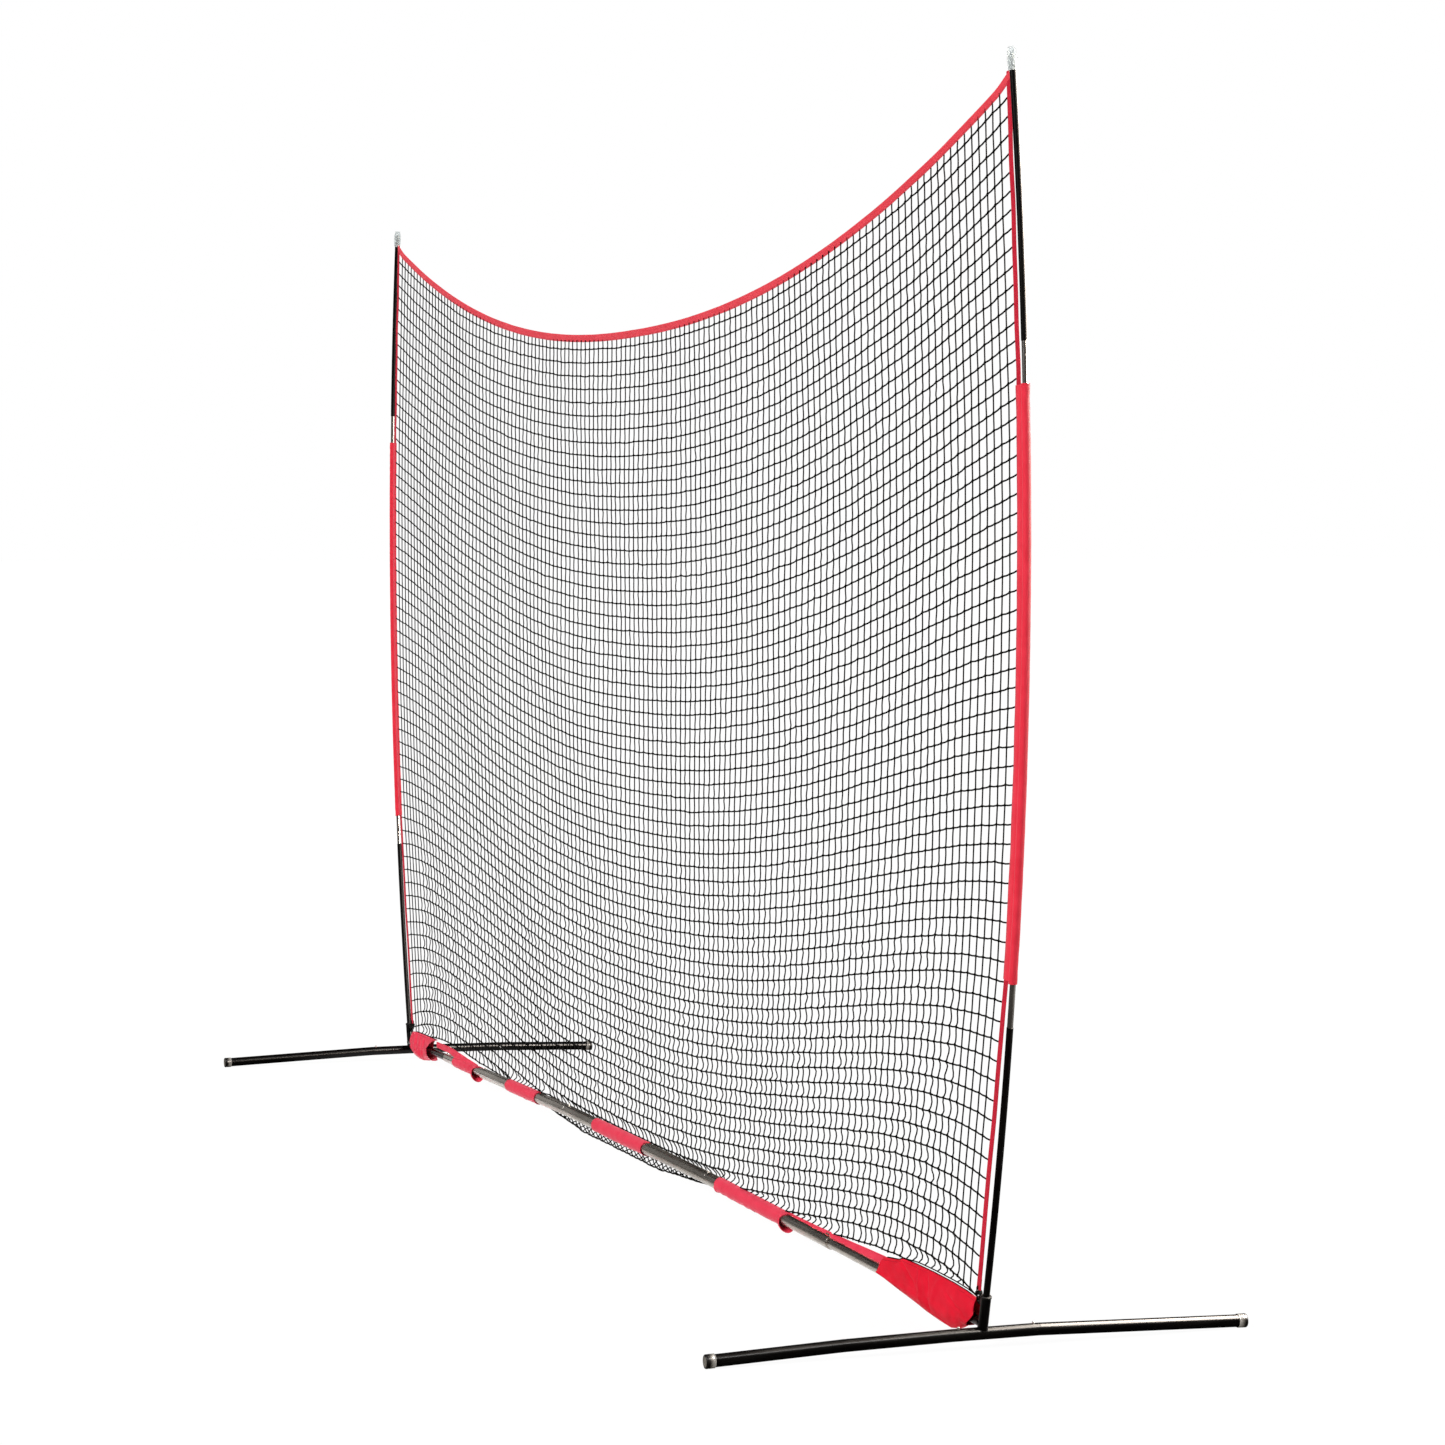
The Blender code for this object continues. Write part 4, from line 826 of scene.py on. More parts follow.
def webbingInside(height):
    # half of the distance between the inner edges of the two side webbings
    levels = np.linspace(webbing["foot"], pole["upperTop"] + 0.0075, 200)
    middle, facing = webbingLine(levels)
    edge = middle - facing * webbing["width"] / 2
    return np.interp(height, edge[:, 2], edge[:, 0])


def webbingShell(side):
    # a flat strap with rounded edges; it flutters a little where it is free and is doubled at its foot
    height = np.concatenate([np.linspace(webbing["foot"], 0.18, 14)[:-1], np.linspace(0.18, 3.1185, 190)])
    middle, facing = webbingLine(height)
    free = smooth(np.abs(height - 1.64), 0.68, 0.78) * smooth(height, 0.2, 0.35) * smooth(-height, -3.05, -2.9)
    middle[:, 1] += 0.0012 * free * folds(height * 3.2, height * 0, 31)
    a = rings(20)
    wide, thick = webbing["width"] / 2 * rounded(np.cos(a), 0.35), rounded(np.sin(a), 0.55)
    half = webbing["thickness"] / 2 * (1 + 0.7 * smooth(-height, -0.172, -0.168))
    across = np.broadcast_to((0.0, 1.0, 0.0), middle.shape)
    seam = np.broadcast_to(np.abs(np.abs(wide) - 0.0098), (len(height), 20))
    grid = sweep((middle, facing, across), wide[None] + 0 * half[:, None], half[:, None] * thick[None])
    return shell(grid, side=side, mark=seam)


binding = {"top": 3.0875, "sag": 0.4555, "power": 2.2, "height": 0.024, "thickness": 0.004, "cornerRise": 0.007}
bindingSpan = float(webbingInside(binding["top"]))


def bindingZ(x):
    # a smooth sag that steepens toward its ends as a power of the distance from the middle
    return binding["top"] - binding["sag"] * (1 - (np.abs(x) / bindingSpan) ** binding["power"])


def bindingSlope(x):
    share = np.abs(x) / bindingSpan
    return np.sign(x) * binding["sag"] * binding["power"] / bindingSpan * share ** (binding["power"] - 1)


def bindingShell():
    # tape folded over the net's top edge: full at the fold, pressed thin at its sewn lower edge
    end = bindingSpan
    for _ in range(8):
        end = float(webbingInside(bindingZ(end) + 0.014)) - touch
    lap = 0.021
    end = end + lap
    x = np.linspace(-end, end, 420)
    slope = bindingSlope(x)
    up = np.stack([-slope, 0 * x, np.ones_like(x)], -1) / np.sqrt(1 + slope ** 2)[:, None]
    up[[0, -1]] = (0, 0, 1)
    corner = smooth(np.abs(x), end - 0.085, end)                      # it climbs a little and laps over the webbing
    middle = np.stack([x, 0.0007 * folds(x * 2.1, x * 0, 41), bindingZ(np.minimum(np.abs(x), end - lap))
                       + 0.42 * np.maximum(np.abs(x) - end + lap, 0) + binding["cornerRise"] * corner], -1)
    a = rings(28)
    high = binding["height"] / 2 * rounded(np.sin(a), 0.45)
    fold = 0.62 + 0.38 * smooth(high, -0.004, 0.011)
    deep = binding["thickness"] / 2 * fold * rounded(np.cos(a), 0.6)
    pucker = 1 + 0.10 * folds(x[:, None] * 22, high[None] * 60, 42)
    high = high[None] * (1 + 0.02 * folds(x[:, None] * 7, x[:, None] * 0, 43))
    across = np.broadcast_to((0.0, 1.0, 0.0), middle.shape)
    seam = np.broadcast_to(np.abs(high + 0.0085), (len(x), 28))
    return shell(sweep((middle, up, across), high, deep[None] * pucker), mark=seam)


for end, side in bothEnds:
    made = addPiece(f"pole_sleeve_cloth_{end}", [poleSleeveShell(side, 51 + side)], sleeveCloth,
                    [f"pole_sleeve_{end}"], sharp=60)
    made = addPiece(f"side_webbing_strap_{end}", [webbingShell(side)], ribbedWebbing,
                    [f"side_webbing_{end}"], sharp=60)
made = addPiece("top_binding_tape", [bindingShell()], bindingTape, ["top_binding"], sharp=60)
print("sleeves, webbing and binding made")


# Corner loops


loop = {"radius": 0.002, "bend": 0.0048, "turns": 3.5}


def loopShells(side):
    # a racetrack through the lug's eye and the webbing's hole, and a coil of the same cord round its waist
    high, low = webbing["foot"] + webbing["holeRise"] - loop["bend"], hub["lugHeight"] + loop["bend"]
    up, down = np.radians(np.linspace(0, 180, 20)), np.radians(np.linspace(180, 360, 20))
    y = loop["bend"] * np.concatenate([np.cos(up), np.cos(down)])
    z = np.concatenate([high + loop["bend"] * np.sin(up), low + loop["bend"] * np.sin(down)])
    track = np.stack([np.full(40, webbing["footX"]), y, z], -1)
    t = np.linspace(0, 1, 76)
    a = 2 * np.pi * loop["turns"] * t
    wide = 0.75 + 0.25 * np.sin(np.pi * t)
    coil = np.stack([webbing["footX"] + 0.0046 * wide * np.cos(a), 0.0088 * wide * np.sin(a),
                     0.5 * (high + low) + 0.011 * (t - 0.5)], -1)
    return [cordShell(track, loop["radius"], closed=True, side=side), cordShell(coil, 0.0019, side=side)]


for end, side in bothEnds:
    addPiece(f"corner_loop_cord_{end}", loopShells(side), loopCord, [f"corner_loop_{end}"], sharp=70)


# Cloth on the rail


def railSleeveShell(look):
    # round the tube a tight top with a sewn ridge, slack below, and folds; at an open end a lip falls away
    # each lip is x where it starts, x of the open end, how far it falls and how far the front is cut back
    x0, x1 = look["ends"]
    rows = max(24, int((x1 - x0) / 0.006))
    share, a = np.linspace(0, 1, rows)[:, None], rings(56)[None]
    x = x0 + (x1 - x0) * share + 0 * a
    down, front = np.clip(-np.sin(a), 0, 1), np.clip(-np.cos(a), 0, 1)
    bore = look["tube"] + touch
    radius = bore + 0.0016 + look["slack"] * down ** 1.5 * np.sin(np.pi * np.clip(share, 0.04, 0.96)) ** 0.4
    radius = radius + 0.0007 * folds(x * 16, a / 2.4, look["seed"]) * (0.4 + down)
    radius = radius + 0.0012 * np.exp(-((a - np.pi / 2) / 0.10) ** 2)
    lipTurn = np.exp(-((a - look["lipTurn"]) / 0.85) ** 2)
    for start, stop, fall, cut in look["lips"]:
        open_ = smooth(x, start, stop) if stop > start else smooth(-x, -start, -stop)
        radius = radius + fall * open_ * lipTurn
        x = x - cut * np.sign(stop - start) * open_ * front ** 1.5
    outer = np.maximum(radius, bore + 0.0012)
    inner = np.maximum(outer - 0.0012, bore)
    middle = railZ(x)
    grids = [np.stack([x, r * np.cos(a), middle + r * np.sin(a)], -1) for r in (outer, inner)]
    top = np.abs(np.minimum(np.abs(a - np.pi / 2 - 0.30), np.abs(a - np.pi / 2 + 0.30))) * look["tube"]
    hemX = np.minimum(np.abs(x - x0 - 0.006), np.abs(x1 - 0.006 - x))
    return walledShell(*grids, np.where(np.abs(hemX) < 0.0028, unmarked, top + 0 * x))


def stripShell(x, low, high, y0, y1, half, seed):
    # an upright band along X: y leans from y0 at its foot to y1 at its top, and its edges wave a little
    a = rings(24)
    up, side = rounded(np.sin(a), 0.45), rounded(np.cos(a), 0.6)
    share = (up[None] + 1) / 2
    z = low[:, None] + (high - low)[:, None] * share
    lean = y0[:, None] + (y1 - y0)[:, None] * share + 0.0009 * folds(x[:, None] * 9, share * 0.8, seed)
    grid = np.stack([np.broadcast_to(x[:, None], z.shape), lean + half * side[None], z], -1)
    return shell(grid, mark=np.abs(z - high[:, None] + 0.0032))


railSleeves = {
    "left": {"ends": (-1.395, -1.035), "tube": rail["radius"], "slack": 0.0018, "seed": 61, "lipTurn": 4.2,
             "lips": ((-1.075, -1.035, 0.0014, 0.003),), "flat": (0.133, 0.36)},
    "centre": {"ends": (-0.390, 0.125), "tube": rail["radius"], "slack": 0.0035, "seed": 62, "lipTurn": 4.2,
               "lips": ((0.08, 0.125, 0.0018, 0.003), (-0.34, -0.39, 0.0015, 0.002)), "flat": (0.139, 0.515)},
    "right": {"ends": (0.810, 1.400), "tube": rail["radius"], "slack": 0.0040, "seed": 63, "lipTurn": 4.35,
              "lips": ((1.33, 1.40, 0.0125, 0.030), (0.85, 0.81, 0.0025, 0.004)), "flat": (0.143, 0.59)},
}
for name, look in railSleeves.items():
    made = addPiece(f"rail_sleeve_cloth_{name}", [railSleeveShell(look)], railCloth,
                    [f"rail_sleeve_{name}"], sharp=60)

wrap = {"ends": (-2.100, -1.785), "tube": rail["outer"], "slack": 0.0035, "seed": 64, "lipTurn": 4.45,
        "lips": ((-1.87, -1.785, 0.0190, 0.040),),
        "bandX": (-2.38, -2.30, -2.20, -2.10, -1.95, -1.80),
        "bandHigh": (0.1172, 0.1164, 0.1155, 0.1128, 0.1050, 0.0990)}
x = np.linspace(-2.372, -1.806, 100)
tubeTop = railZ(x) + rail["outer"] + touch
bandLow = np.interp(x, [-2.38, -2.24, -2.20, -2.08, -1.8], [0.090, 0.0900, 0.0905, 0.088, 0.0880])
bandHigh = np.minimum(np.interp(x, wrap["bandX"], wrap["bandHigh"]), tubeTop + 0.0286)
bandLow = np.maximum(bandLow, tubeTop + np.where(x < -2.205, 0.0052, 0.0008))
band = stripShell(x, bandLow, bandHigh, -0.007 * smooth(x, -2.25, -2.05), 0 * x, 0.0010, 65)
made = addPiece("rail_wrap_cloth_left", [railSleeveShell(wrap), band], railCloth, ["rail_wrap_left"],
                sharp=60)


def tapeHeight(x):
    # the tape's free height above the tube: thin where it leaves the sleeve, wide where it enters the pocket
    return np.interp(x, [1.39, 1.55, 1.724, 1.76, 2.105], [0.0045, 0.0060, 0.0095, 0.0125, 0.0235])


x = np.linspace(1.392, 2.150, 124)
tapeFoot = railZ(x) + np.where(x <= 1.724, rail["radius"], rail["outer"]) + touch
tapeHigh = tapeFoot + tapeHeight(x)
tapeLow = tapeFoot + 0.0052 * smooth(x, 1.688, 1.699) * smooth(-x, -1.733, -1.722)
tape = stripShell(x, tapeLow, tapeHigh, -0.0035 - 0.002 * smooth(x, 1.4, 1.7), 0.0 * x, 0.0011, 66)
made = addPiece("edge_tape_cloth_right", [tape], railCloth, ["edge_tape_right"], sharp=60)
print("rail cloth made")


# Corner pockets


rightPocket = {
    "mouth": (2.089, 2.105, 2.112), "tail": (2.668, 2.730, 2.720),     # x of each end at the bottom, middle and top
    "top": ((2.09, 2.16, 2.21, 2.24, 2.32, 2.45, 2.58, 2.66, 2.720),
            (0.1060, 0.1145, 0.1195, 0.1290, 0.1305, 0.1305, 0.1275, 0.123, 0.116)),
    "bottom": ((2.089, 2.215, 2.32, 2.418, 2.50, 2.574, 2.62, 2.66),
               (0.0640, 0.0460, 0.0350, 0.0230, 0.0165, 0.0130, 0.0210, 0.0380)),
    "depth": 0.0182, "mouthSpread": 0.000, "backCut": 0.0, "seed": 71, "flat": (0.205, 0.61),
    # creases: x and share down the front at both ends, half width along X, depth
    "creases": ((2.20, 0.05, 2.36, 0.55, 0.012, 0.0042), (2.36, 0.05, 2.40, 0.75, 0.010, -0.0030),
                (2.42, 0.20, 2.45, 0.80, 0.009, 0.0046), (2.44, 0.75, 2.60, 0.95, 0.014, 0.0040),
                (2.50, 0.10, 2.47, 0.60, 0.014, -0.0026), (2.55, 0.30, 2.68, 0.62, 0.010, 0.0036),
                (2.60, 0.70, 2.70, 0.80, 0.010, 0.0030)),
}
leftPocket = {
    "mouth": (-2.392, -2.455, -2.372), "tail": (-2.660, -2.705, -2.705),
    "top": ((-2.705, -2.64, -2.54, -2.44, -2.37), (0.1100, 0.1145, 0.1165, 0.1175, 0.1175)),
    "bottom": ((-2.705, -2.655, -2.60, -2.54, -2.48, -2.42), (0.0440, 0.0240, 0.0190, 0.0200, 0.0270, 0.0370)),
    "depth": 0.0186, "mouthSpread": 0.004, "backCut": 0.055, "seed": 72, "flat": (0.215, 0.31),
    "creases": ((-2.63, 0.10, -2.60, 0.75, 0.012, 0.0040), (-2.57, 0.05, -2.55, 0.85, 0.010, 0.0034),
                (-2.51, 0.20, -2.52, 0.95, 0.009, 0.0036), (-2.60, 0.60, -2.54, 0.90, 0.012, -0.0026)),
}


def pocketShell(look):
    # between its top and bottom outlines each section is the skin stretched over the tube and two thin edges
    # creases are soft grooves along slanted lines on both faces; the ends run along curves and the wall is 1.4 mm
    rows, half = 110, 44
    t, down = np.linspace(0, 1, rows)[:, None], np.linspace(0, 1, half)[None]

    def edgeX(ends):
        return np.interp(1 - down, (0, 0.5, 1), ends)

    x = edgeX(look["mouth"]) * (1 - t) + edgeX(look["tail"]) * t
    top, bottom = np.interp(x, *look["top"]), np.interp(x, *look["bottom"])
    ease = 0.5 - 0.5 * np.cos(np.pi * down)
    z = top + (bottom - top) * (0.35 * down + 0.65 * ease)
    tube = railZ(x)
    core = rail["outer"] + 0.0022
    rise = np.where(z > tube, (z - tube) / (top - tube + 1e-6), (tube - z) / (tube - bottom + 0.004))
    hull = 0.0022 + (core - 0.0022) * np.clip(1 - np.abs(rise) ** 1.55, 0, 1) ** 0.62
    within = np.sqrt(np.clip((rail["outer"] + 0.0019) ** 2 - (z - tube) ** 2, 0, None))
    belly = 0.0045 * np.sin(np.pi * np.clip((z - bottom) / (tube - bottom + 1e-6), 0, 1)) * (z < tube)
    depth = np.maximum(hull + belly, within)
    groove = 0 * x
    for xa, da, xb, db, wide, deep in look["creases"]:
        run = np.clip((down - da) / (db - da), 0, 1)
        off = x - (xa + (xb - xa) * run)
        fade = smooth(down, da - 0.12, da + 0.12) * smooth(-down, -db - 0.12, -db + 0.12)
        groove = groove + deep * fade * np.exp(-(off / wide) ** 2)
    spread = look["mouthSpread"] * (1 - smooth(t, 0, 0.22))
    xBack = x - look["backCut"] * (1 - smooth(t, 0, 0.35)) * np.sin(np.pi * down) ** 0.7
    faces = []
    for sign, seed in ((-1, 0), (1, 5)):
        ruffle = 0.0013 * folds(x * 14, z * 20, look["seed"] + seed) * np.sin(np.pi * down)
        y = np.maximum(depth + spread - (groove if sign < 0 else 0.6 * groove) + ruffle, within + 0.0003)
        y = np.where(down * (1 - down) > 1e-9, np.maximum(y, 0.0012), 0.0009)
        faces.append(sign * np.minimum(y, look["depth"] + 0.007))
    front, back = np.stack([x, faces[0], z], -1), np.stack([xBack, faces[1], z], -1)
    outer = np.concatenate([front, back[:, -2:0:-1]], 1)
    inFront, inBack = front * 1.0, back * 1.0
    inFront[..., 1], inBack[..., 1] = np.minimum(faces[0] + 0.0014, -0.0002), np.maximum(faces[1] - 0.0014, 0.0002)
    inFront[..., 2] = inBack[..., 2] = np.clip(z, bottom + 0.0014, top - 0.0014)
    inner = np.concatenate([inFront, inBack[:, -2:0:-1]], 1)
    mouthSeam = edgeX(look["mouth"]) + np.sign(look["tail"][0] - look["mouth"][0]) * 0.008
    seam = np.minimum(np.abs(top - z - 0.006), np.abs(x - mouthSeam))
    return walledShell(outer, inner, np.concatenate([seam, seam[:, -2:0:-1]], 1))


for name, look, rests in (("right", rightPocket, "rail_outer_tube_right"),
                          ("left", leftPocket, "rail_outer_tube_left")):
    made = addPiece(f"corner_pocket_cloth_{name}", [pocketShell(look)], pocketCloth if name == "right" else railCloth,
                    [f"corner_pocket_{name}"], sharp=75)
print("pockets made")


# Netting


net = {"columns": 131, "rows": 64, "pitch": 0.0415, "edgePitch": 0.0048, "slack": 0.04, "rowTwine": 0.0023,
       "columnTwine": 0.0020, "sides": 5}


def netFoot(x):
    # height and depth where the net's lower end is held: on the cloth where there is some, else behind the rail
    tapeTop = railZ(x) + np.where(np.abs(x) < 1.73, rail["radius"], rail["outer"]) + tapeHeight(x) - 0.001
    sleeveTop = railZ(x) + rail["radius"] + 0.0030
    behind = railZ(x) - 0.004
    right = np.interp(x, *rightPocket["top"]) + 0.0006 + 0.0052 * smooth(x, 2.24, 2.36)
    left = np.interp(x, *leftPocket["top"]) + 0.0006
    bandTop = np.interp(x, wrap["bandX"], wrap["bandHigh"]) + 0.0004
    z = np.select([x < -2.38, x < -1.80, x < -1.44, x < -0.98, x < 0.81, x < 1.40, x < 2.10],
                  [left, bandTop, behind, sleeveTop, behind, sleeveTop, tapeTop], right)
    hidden = smooth(x, -1.81, -1.78) * smooth(-x, 1.42, 1.46) + smooth(x, -0.99, -0.96) * smooth(-x, -0.83, -0.79)
    return z, 0.0238 * hidden


def netGrid():
    # columns share the width evenly at each height; rows hang below the binding at a pitch that is longer at the sides
    # and a little longer at the top; whatever falls below the net's foot is held there
    share = np.linspace(-1, 1, net["columns"])[None]
    row = np.arange(net["rows"] + 1)[:, None]
    pitch = net["pitch"] + net["edgePitch"] * np.abs(share) ** 5
    x = share * bindingSpan + 0 * row
    for _ in range(6):
        z = bindingZ(x) - binding["height"] / 2 * np.sqrt(1 + bindingSlope(x) ** 2)
        z = z - (row - 0.45) * pitch * (1 + net["slack"] * (1 - share ** 2) * (1 - row / 60))
        z = np.where(row == 0, bindingZ(x) - 0.006, z)
        x = share * (webbingInside(np.clip(z, 0.14, 3.1)) - 0.0012)
    foot_, depth = netFoot(x)
    rng = np.random.default_rng(81)
    inner = (np.abs(share) < 0.999) & (row > 0)
    z = z + np.where(inner, rng.normal(0, 0.0009, z.shape), 0)
    x = x + np.where(inner, rng.normal(0, 0.0008, z.shape), 0)
    held = z <= foot_ + 0.004
    z = np.where(held, foot_, z)
    x = x - np.where(held & (np.abs(x) < 2.0), 0.016, 0.0)
    y = depth * smooth(-(z - foot_), -0.050, -0.004)
    y = y + 0.004 * folds(x * 0.8, z * 0.9, 82) * (1 - share ** 8) * smooth(z - foot_, 0.0, 0.2)
    return np.stack([x, y, z], -1), held


def strandShell(paths, radius):
    # a batch of short twines, each along its own row of points
    ahead = np.gradient(paths, axis=1)
    ahead /= np.linalg.norm(ahead, axis=-1, keepdims=True) + 1e-12
    first = np.cross(ahead, (0.0, 1.0, 0.02))
    first /= np.linalg.norm(first, axis=-1, keepdims=True)
    second, a = np.cross(ahead, first), rings(net["sides"])
    grid = (paths[:, :, None] + first[:, :, None] * (radius * np.cos(a))[:, None]
            + second[:, :, None] * (radius * np.sin(a))[:, None])
    return shell(grid)


def knotShell(points, size):
    # a small upright nut at each crossing: three rings and two flat ends
    a = rings(6)
    wide, deep, tall = size
    grid = [points[:, None] + np.stack([wide * r * np.cos(a), deep * r * np.sin(a), np.full(6, tall * h)], -1)[None]
            for r, h in ((0.45, -1.0), (1.0, -0.3), (0.95, 0.35), (0.4, 1.0))]
    return shell(np.stack(grid, 1))


grid, held = netGrid()
left, right = grid[1:, :-1], grid[1:, 1:]
keep = ~(held[1:, :-1] & held[1:, 1:])
share = np.array([0.0, 0.5, 1.0])[:, None]
rowPaths = left[keep][:, None] * (1 - share) + right[keep][:, None] * share
rowPaths[:, 1, 2] -= 0.0012
upper, lower = grid[:-1], grid[1:]
keep = ~held[:-1]
keep[:, [0, -1]] = False                      # the webbing stands in for the outermost twines
share = np.array([0.0, 0.25, 0.5, 0.75, 1.0])[:, None]
columnPaths = upper[keep][:, None] * (1 - share) + lower[keep][:, None] * share
rng = np.random.default_rng(83)
cell = np.clip(np.linalg.norm(columnPaths[:, 0] - columnPaths[:, -1], axis=-1) / 0.04, 0.2, 1)
# slack twine bows out of the net's plane between its knots and bends back like a thin S, more so low down;
# a strand that ends at the net's foot is spare length and hooks over
slackness = smooth(-columnPaths[:, 2, 2], -1.35, -0.35)
atFoot = held[1:][keep]
bow1 = (0.0032 * slackness + rng.normal(0, 1, len(cell)) * (0.0004 + 0.0007 * slackness)) * cell + 0.0050 * atFoot
bow2 = rng.normal(0, 1, len(cell)) * (0.0003 + 0.0007 * slackness) * cell - 0.0012 * atFoot
t = share[:, 0]
bowOut = bow1[:, None] * np.sin(np.pi * t) + bow2[:, None] * np.sin(2 * np.pi * t)
bowOut = bowOut * (np.abs(columnPaths[:, 2, :1]) < 2.60)
columnPaths[..., 1] += bowOut
columnPaths[..., 0] += 0.45 * bowOut
knots = grid[1:][~held[1:]]
knots = knots[np.abs(knots[:, 0]) < webbingInside(knots[:, 2]) - 0.004]
for end, side in bothEnds:
    for name, paths, radius in (("rows", rowPaths, net["rowTwine"]), ("columns", columnPaths, net["columnTwine"])):
        mine = paths[paths[:, 0, 0] * side >= 0] if side > 0 else paths[paths[:, 0, 0] < 0]
        addPiece(f"net_{name}_{end}", [strandShell(mine, radius)], blackTwine, ["net_mesh"], sharp=80)
    mine = knots[knots[:, 0] >= 0] if side > 0 else knots[knots[:, 0] < 0]
    addPiece(f"net_knots_{end}", [knotShell(mine, (0.0031, 0.0031, 0.0046))], blackTwine, ["net_mesh"],
             sharp=80)

lace = {"ends": (-1.08, 0.89), "rows": 6, "drop": 0.0084, "twine": 0.0019, "cord": 0.0026}


def laceShells():
    # the net's spare rows bunched behind and under the rail: rows close together and every other one shifted by half
    # a cell, so that the cells show as small diamonds; the lowest row is the net's wavy edge cord
    x = grid[1, :, 0]
    x = x[(x > lace["ends"][0]) & (x < lace["ends"][1])]
    rng = np.random.default_rng(90)
    row = np.arange(lace["rows"])[:, None]
    step = x[1] - x[0]
    across = x[None] + step * (0.5 * (row % 2) + 0.10 * rng.normal(0, 1, (lace["rows"], len(x))))
    share = np.clip((across - x[0]) / (x[-1] - x[0]), 0, 1)
    full = np.clip(share / 0.24, 0, 1) * np.clip((1 - share) / 0.34, 0, 1)
    z = railZ(across) - 0.012 - row * lace["drop"] * (0.12 + 0.88 * full)
    z = z + 0.0011 * rng.normal(0, 1, z.shape) * full
    y = 0.0236 - 0.0052 * smooth(row, 1, 5) + 0.0010 * rng.normal(0, 1, z.shape)
    points = np.stack([across, y, z], -1)
    shells = []
    for i in range(lace["rows"] - 1):
        for shift in ((0, -1) if i % 2 == 0 else (0, 1)):
            ends = points[i, max(-shift, 0):len(x) - max(shift, 0)], points[i + 1, max(shift, 0):len(x) + min(shift, 0)]
            middle = (ends[0] + ends[1]) / 2 + rng.normal(0, 0.0008, ends[0].shape)
            shells.append(strandShell(np.stack([ends[0], middle, ends[1]], 1), lace["twine"]))
        shells.append(knotShell(points[i], (0.0026, 0.0026, 0.0030)))
    low = np.stack([points[-1], points[-1]], 1)
    low[:, 1] = (points[-1] + np.roll(points[-1], -1, 0)) / 2
    low[:, 1, 2] -= 0.0016 * full[-1]
    edge = low.reshape(-1, 3)[:-1]
    return [*shells, cordShell(edge, lace["cord"])]


addPiece("net_lace", laceShells(), blackTwine, ["net_mesh"], sharp=80)
shells = []
for low, high, count in ((-2.66, -2.39, 50), (2.13, 2.695, 90)):
    footX = np.linspace(low, high, count)
    shells.append(cordShell(np.stack([footX, 0 * footX, netFoot(footX)[0] + 0.0006], -1), 0.0017))
# a thinner black cord laid along the right pocket's top edge, below the net's foot cord
footX = np.linspace(2.245, 2.69, 70)
pocketTopCord = np.interp(footX, *rightPocket["top"]) + 0.0004
shells.append(cordShell(np.stack([footX, 0 * footX, pocketTopCord], -1), 0.0013))
addPiece("net_foot_cords", shells, blackTwine, ["net_mesh"], sharp=80)
print("net made:", len(rowPaths), "row strands,", len(columnPaths), "column strands,", len(knots), "knots")


# Camera, floor and light


camera = {"place": (11.263, -3.692, 1.997), "azimuth": 70.51, "pitch": -2.80, "lens": 94.27, "sensor": 36.0}
eye = placed("camera", bpy.data.cameras.new("camera"))
eye.location = camera["place"]
eye.rotation_euler = (math.radians(90 + camera["pitch"]), 0, math.radians(camera["azimuth"]))
eye.data.lens, eye.data.sensor_width = camera["lens"], camera["sensor"]
eye.data.clip_start, eye.data.clip_end = 0.05, 400
bpy.context.scene.camera = eye

lights = {
    # name: direction that the light comes from, strength, apparent width in degrees
    "keySun": ((0.15, -0.90, 0.70), 2.35, 30),
    "rimSun": ((0.15, 0.95, 0.45), 1.50, 30),
    "legSun": ((0.593, 0.334, 0.733), 0.55, 7),
}
for name, (direction, strength, width) in lights.items():
    lamp = bpy.data.lights.new(name, "SUN")
    lamp.energy, lamp.angle = strength, math.radians(width)
    sun = placed(name, lamp)
    x, y, z = direction
    sun.rotation_euler = (math.atan2(math.hypot(x, y), z), 0, math.atan2(y, x) + math.pi / 2)

# a wide softbox beside the net, high up: it only shows as the long highlight toward the right foot's end
overhead = {"place": (3.3, 2.5, 3.1), "aim": (3.0, 0.5, 0.0), "size": (3.4, 1.7), "power": 1500,
            "colour": "#fff3e6"}
lamp = bpy.data.lights.new("overheadBox", "AREA")
lamp.shape, lamp.size, lamp.size_y, lamp.energy = "RECTANGLE", *overhead["size"], overhead["power"]
lamp.color = hexColour(overhead["colour"])[:3]
box = placed("overheadBox", lamp)
box.location = overhead["place"]
box.rotation_euler = (math.atan2(overhead["aim"][1] - overhead["place"][1], overhead["place"][2]), 0, 0)
box.visible_camera = box.visible_diffuse = False

studio = {"ambient": "#ffffff", "strength": 0.26, "dark": "#171513", "grey": "#6b6762", "panel": "#ffffff",
          "disc": "#efece8"}


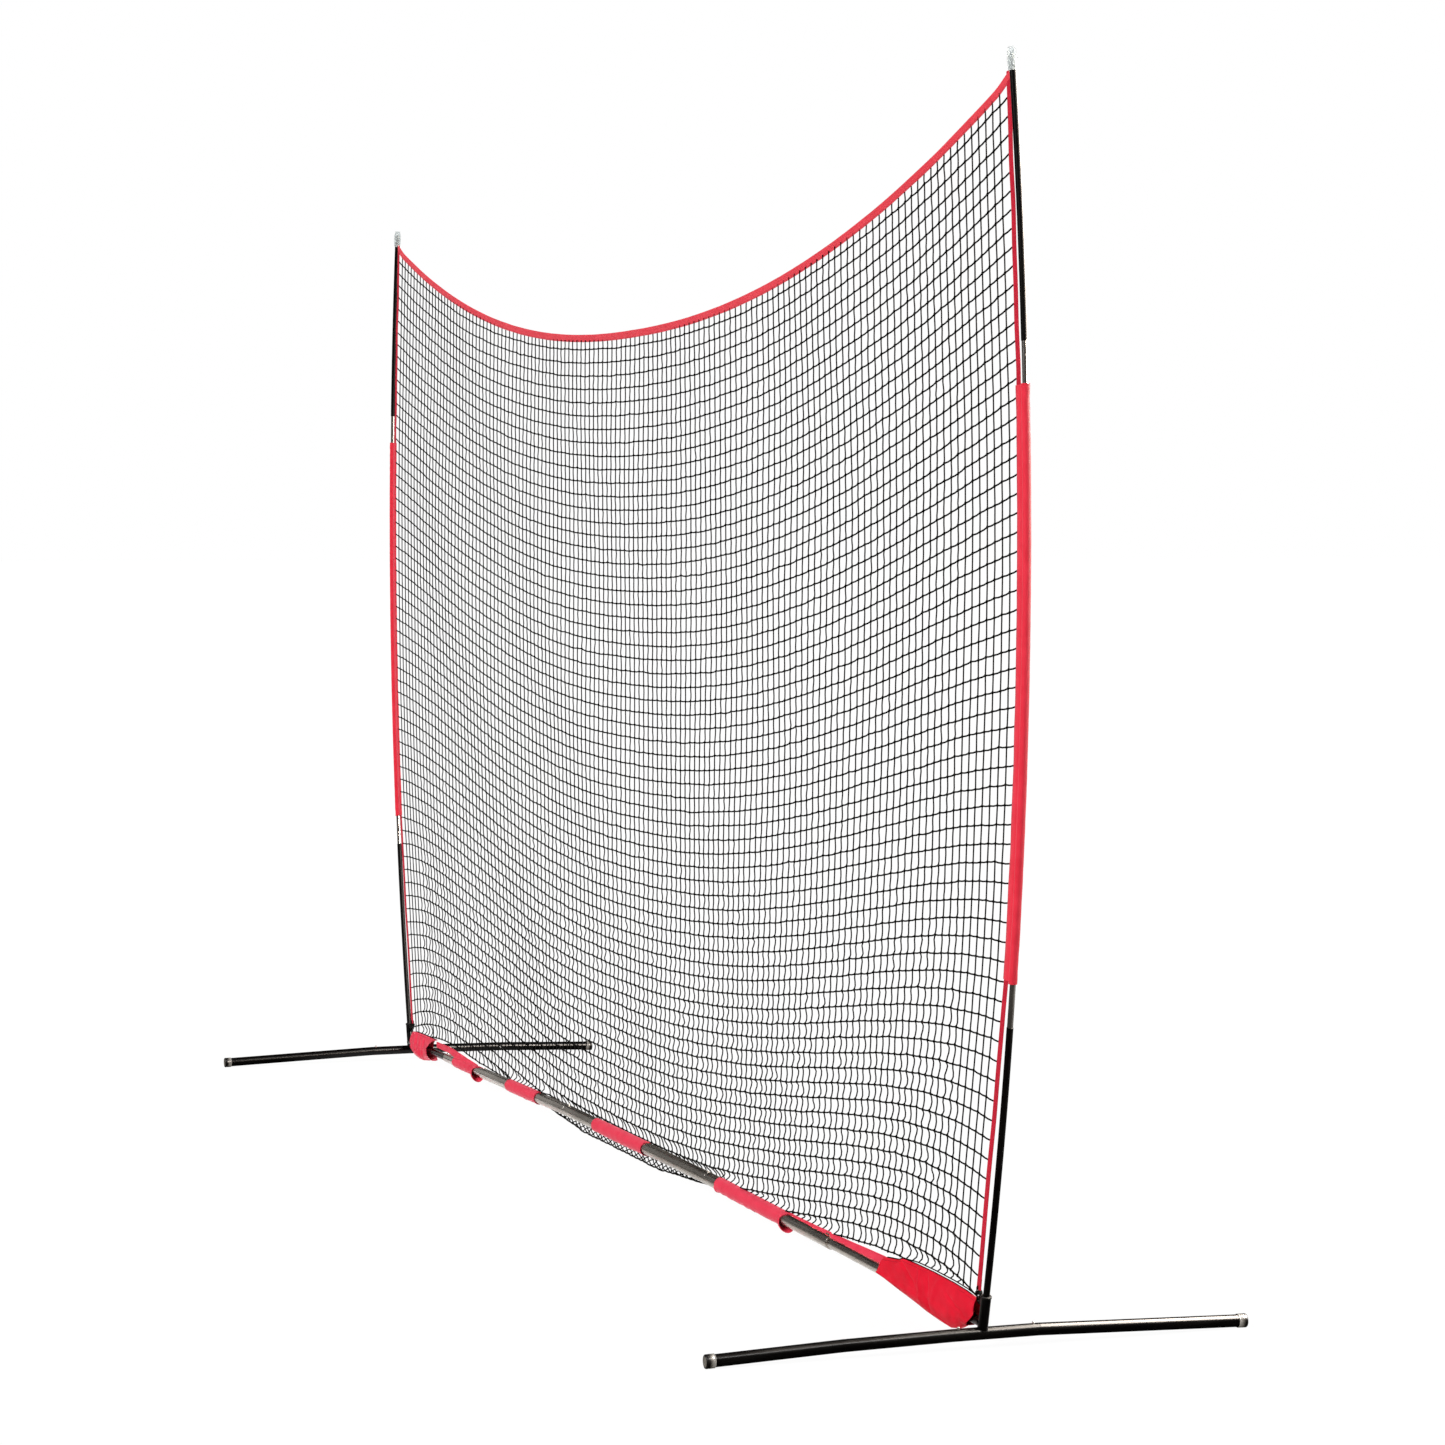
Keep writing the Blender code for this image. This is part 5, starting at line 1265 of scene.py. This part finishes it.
def studioWorld():
    # even soft light; what shiny parts mirror is a dark room with a low grey band, a pale disc on the -X side and a
    # bright panel on the +Y side
    # seen by eye and through clear parts it is plain white
    world = bpy.data.worlds.new("studio")
    bpy.context.scene.world = world
    world.use_nodes = True
    tree = world.node_tree
    tree.nodes.clear()
    look = addNode(tree, "ShaderNodeTexCoord").outputs["Generated"]
    towardX, towardY, towardZ = addNode(tree, "ShaderNodeSeparateXYZ", {}, {0: look}).outputs
    room = mixColour(tree, remap(tree, towardZ, 0.10, -0.02), studio["dark"], studio["grey"])
    room = mixColour(tree, remap(tree, towardX, -0.951, -0.964), room, studio["disc"])
    room = mixColour(tree, remap(tree, towardY, 0.62, 0.82), room, studio["panel"])
    rays = addNode(tree, "ShaderNodeLightPath").outputs
    soft, mirrored, seen = (
        addNode(tree, "ShaderNodeBackground", {}, {"Color": colour, "Strength": strength}).outputs[0]
        for colour, strength in ((hexColour(studio["ambient"]), studio["strength"]), (room, 1.0), ((1, 1, 1, 1), 1.0)))
    lit = mixShader(tree, rays["Is Glossy Ray"], soft, mirrored)
    plain = maths(tree, "MAXIMUM", rays["Is Camera Ray"], rays["Is Transmission Ray"])
    addNode(tree, "ShaderNodeOutputWorld", {}, {"Surface": mixShader(tree, plain, lit, seen)})


def studioFloor():
    # a wide white sheet just under the feet; to the eye it is mostly plain white, so that shadows stay faint
    # shiny parts mirror only the strip of it under the net, greyed on its -Y side and near the right end, with a dark
    # room beyond it
    size, ease, near = 300.0, 0.10, (4.5, 7.0)
    mesh = bpy.data.meshes.new("floor")
    mesh.from_pydata([(-size, -size, -0.0006), (size, -size, -0.0006), (size, size, -0.0006), (-size, size, -0.0006)],
                     [], [(0, 1, 2, 3)])
    floor = placed("floor", mesh)
    material = bpy.data.materials.new("paperFloor")
    material.use_nodes = True
    tree = material.node_tree
    tree.nodes.clear()
    place = addNode(tree, "ShaderNodeTexCoord").outputs["Object"]
    alongX, alongY, _ = addNode(tree, "ShaderNodeSeparateXYZ", {}, {0: place}).outputs
    rays = addNode(tree, "ShaderNodeLightPath").outputs
    paper = mixColour(tree, noise(tree, place, 3.0, 3.0), "#cdcdcb", "#d3d3d1")
    front = maths(tree, "MULTIPLY", remap(tree, alongY, 0.10, -0.22), remap(tree, alongX, -2.2, -0.8))
    aside = remap(tree, maths(tree, "ABSOLUTE", alongY), 0.22, 0.50)
    off = maths(tree, "MAXIMUM", aside, remap(tree, alongX, 2.60, 2.74))
    mirrored = mixColour(tree, off, mixColour(tree, front, "#ffffff", "#c4c0ba"), "#2b2926")
    tone = mixColour(tree, rays["Is Glossy Ray"], paper, mirrored)
    matt = addNode(tree, "ShaderNodeBsdfDiffuse", {}, {"Color": tone}).outputs[0]
    white = addNode(tree, "ShaderNodeEmission", {}, {"Color": (1, 1, 1, 1), "Strength": 1.06}).outputs[0]
    plain = maths(tree, "MAXIMUM", rays["Is Camera Ray"], rays["Is Transmission Ray"])
    sheet = mixShader(tree, maths(tree, "MULTIPLY", plain, 1 - ease), matt, white)
    reach = addNode(tree, "ShaderNodeVectorMath", {"operation": "LENGTH"}, {0: place}).outputs["Value"]
    beyond = maths(tree, "MULTIPLY", remap(tree, reach, *near), rays["Is Glossy Ray"])
    clear = addNode(tree, "ShaderNodeBsdfTransparent").outputs[0]
    addNode(tree, "ShaderNodeOutputMaterial", {}, {"Surface": mixShader(tree, beyond, sheet, clear)})
    mesh.materials.append(material)
    floor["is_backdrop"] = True


studioWorld()
studioFloor()
bpy.context.scene.view_settings.view_transform = "Standard"
print("camera, floor and light made")

low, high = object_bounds()
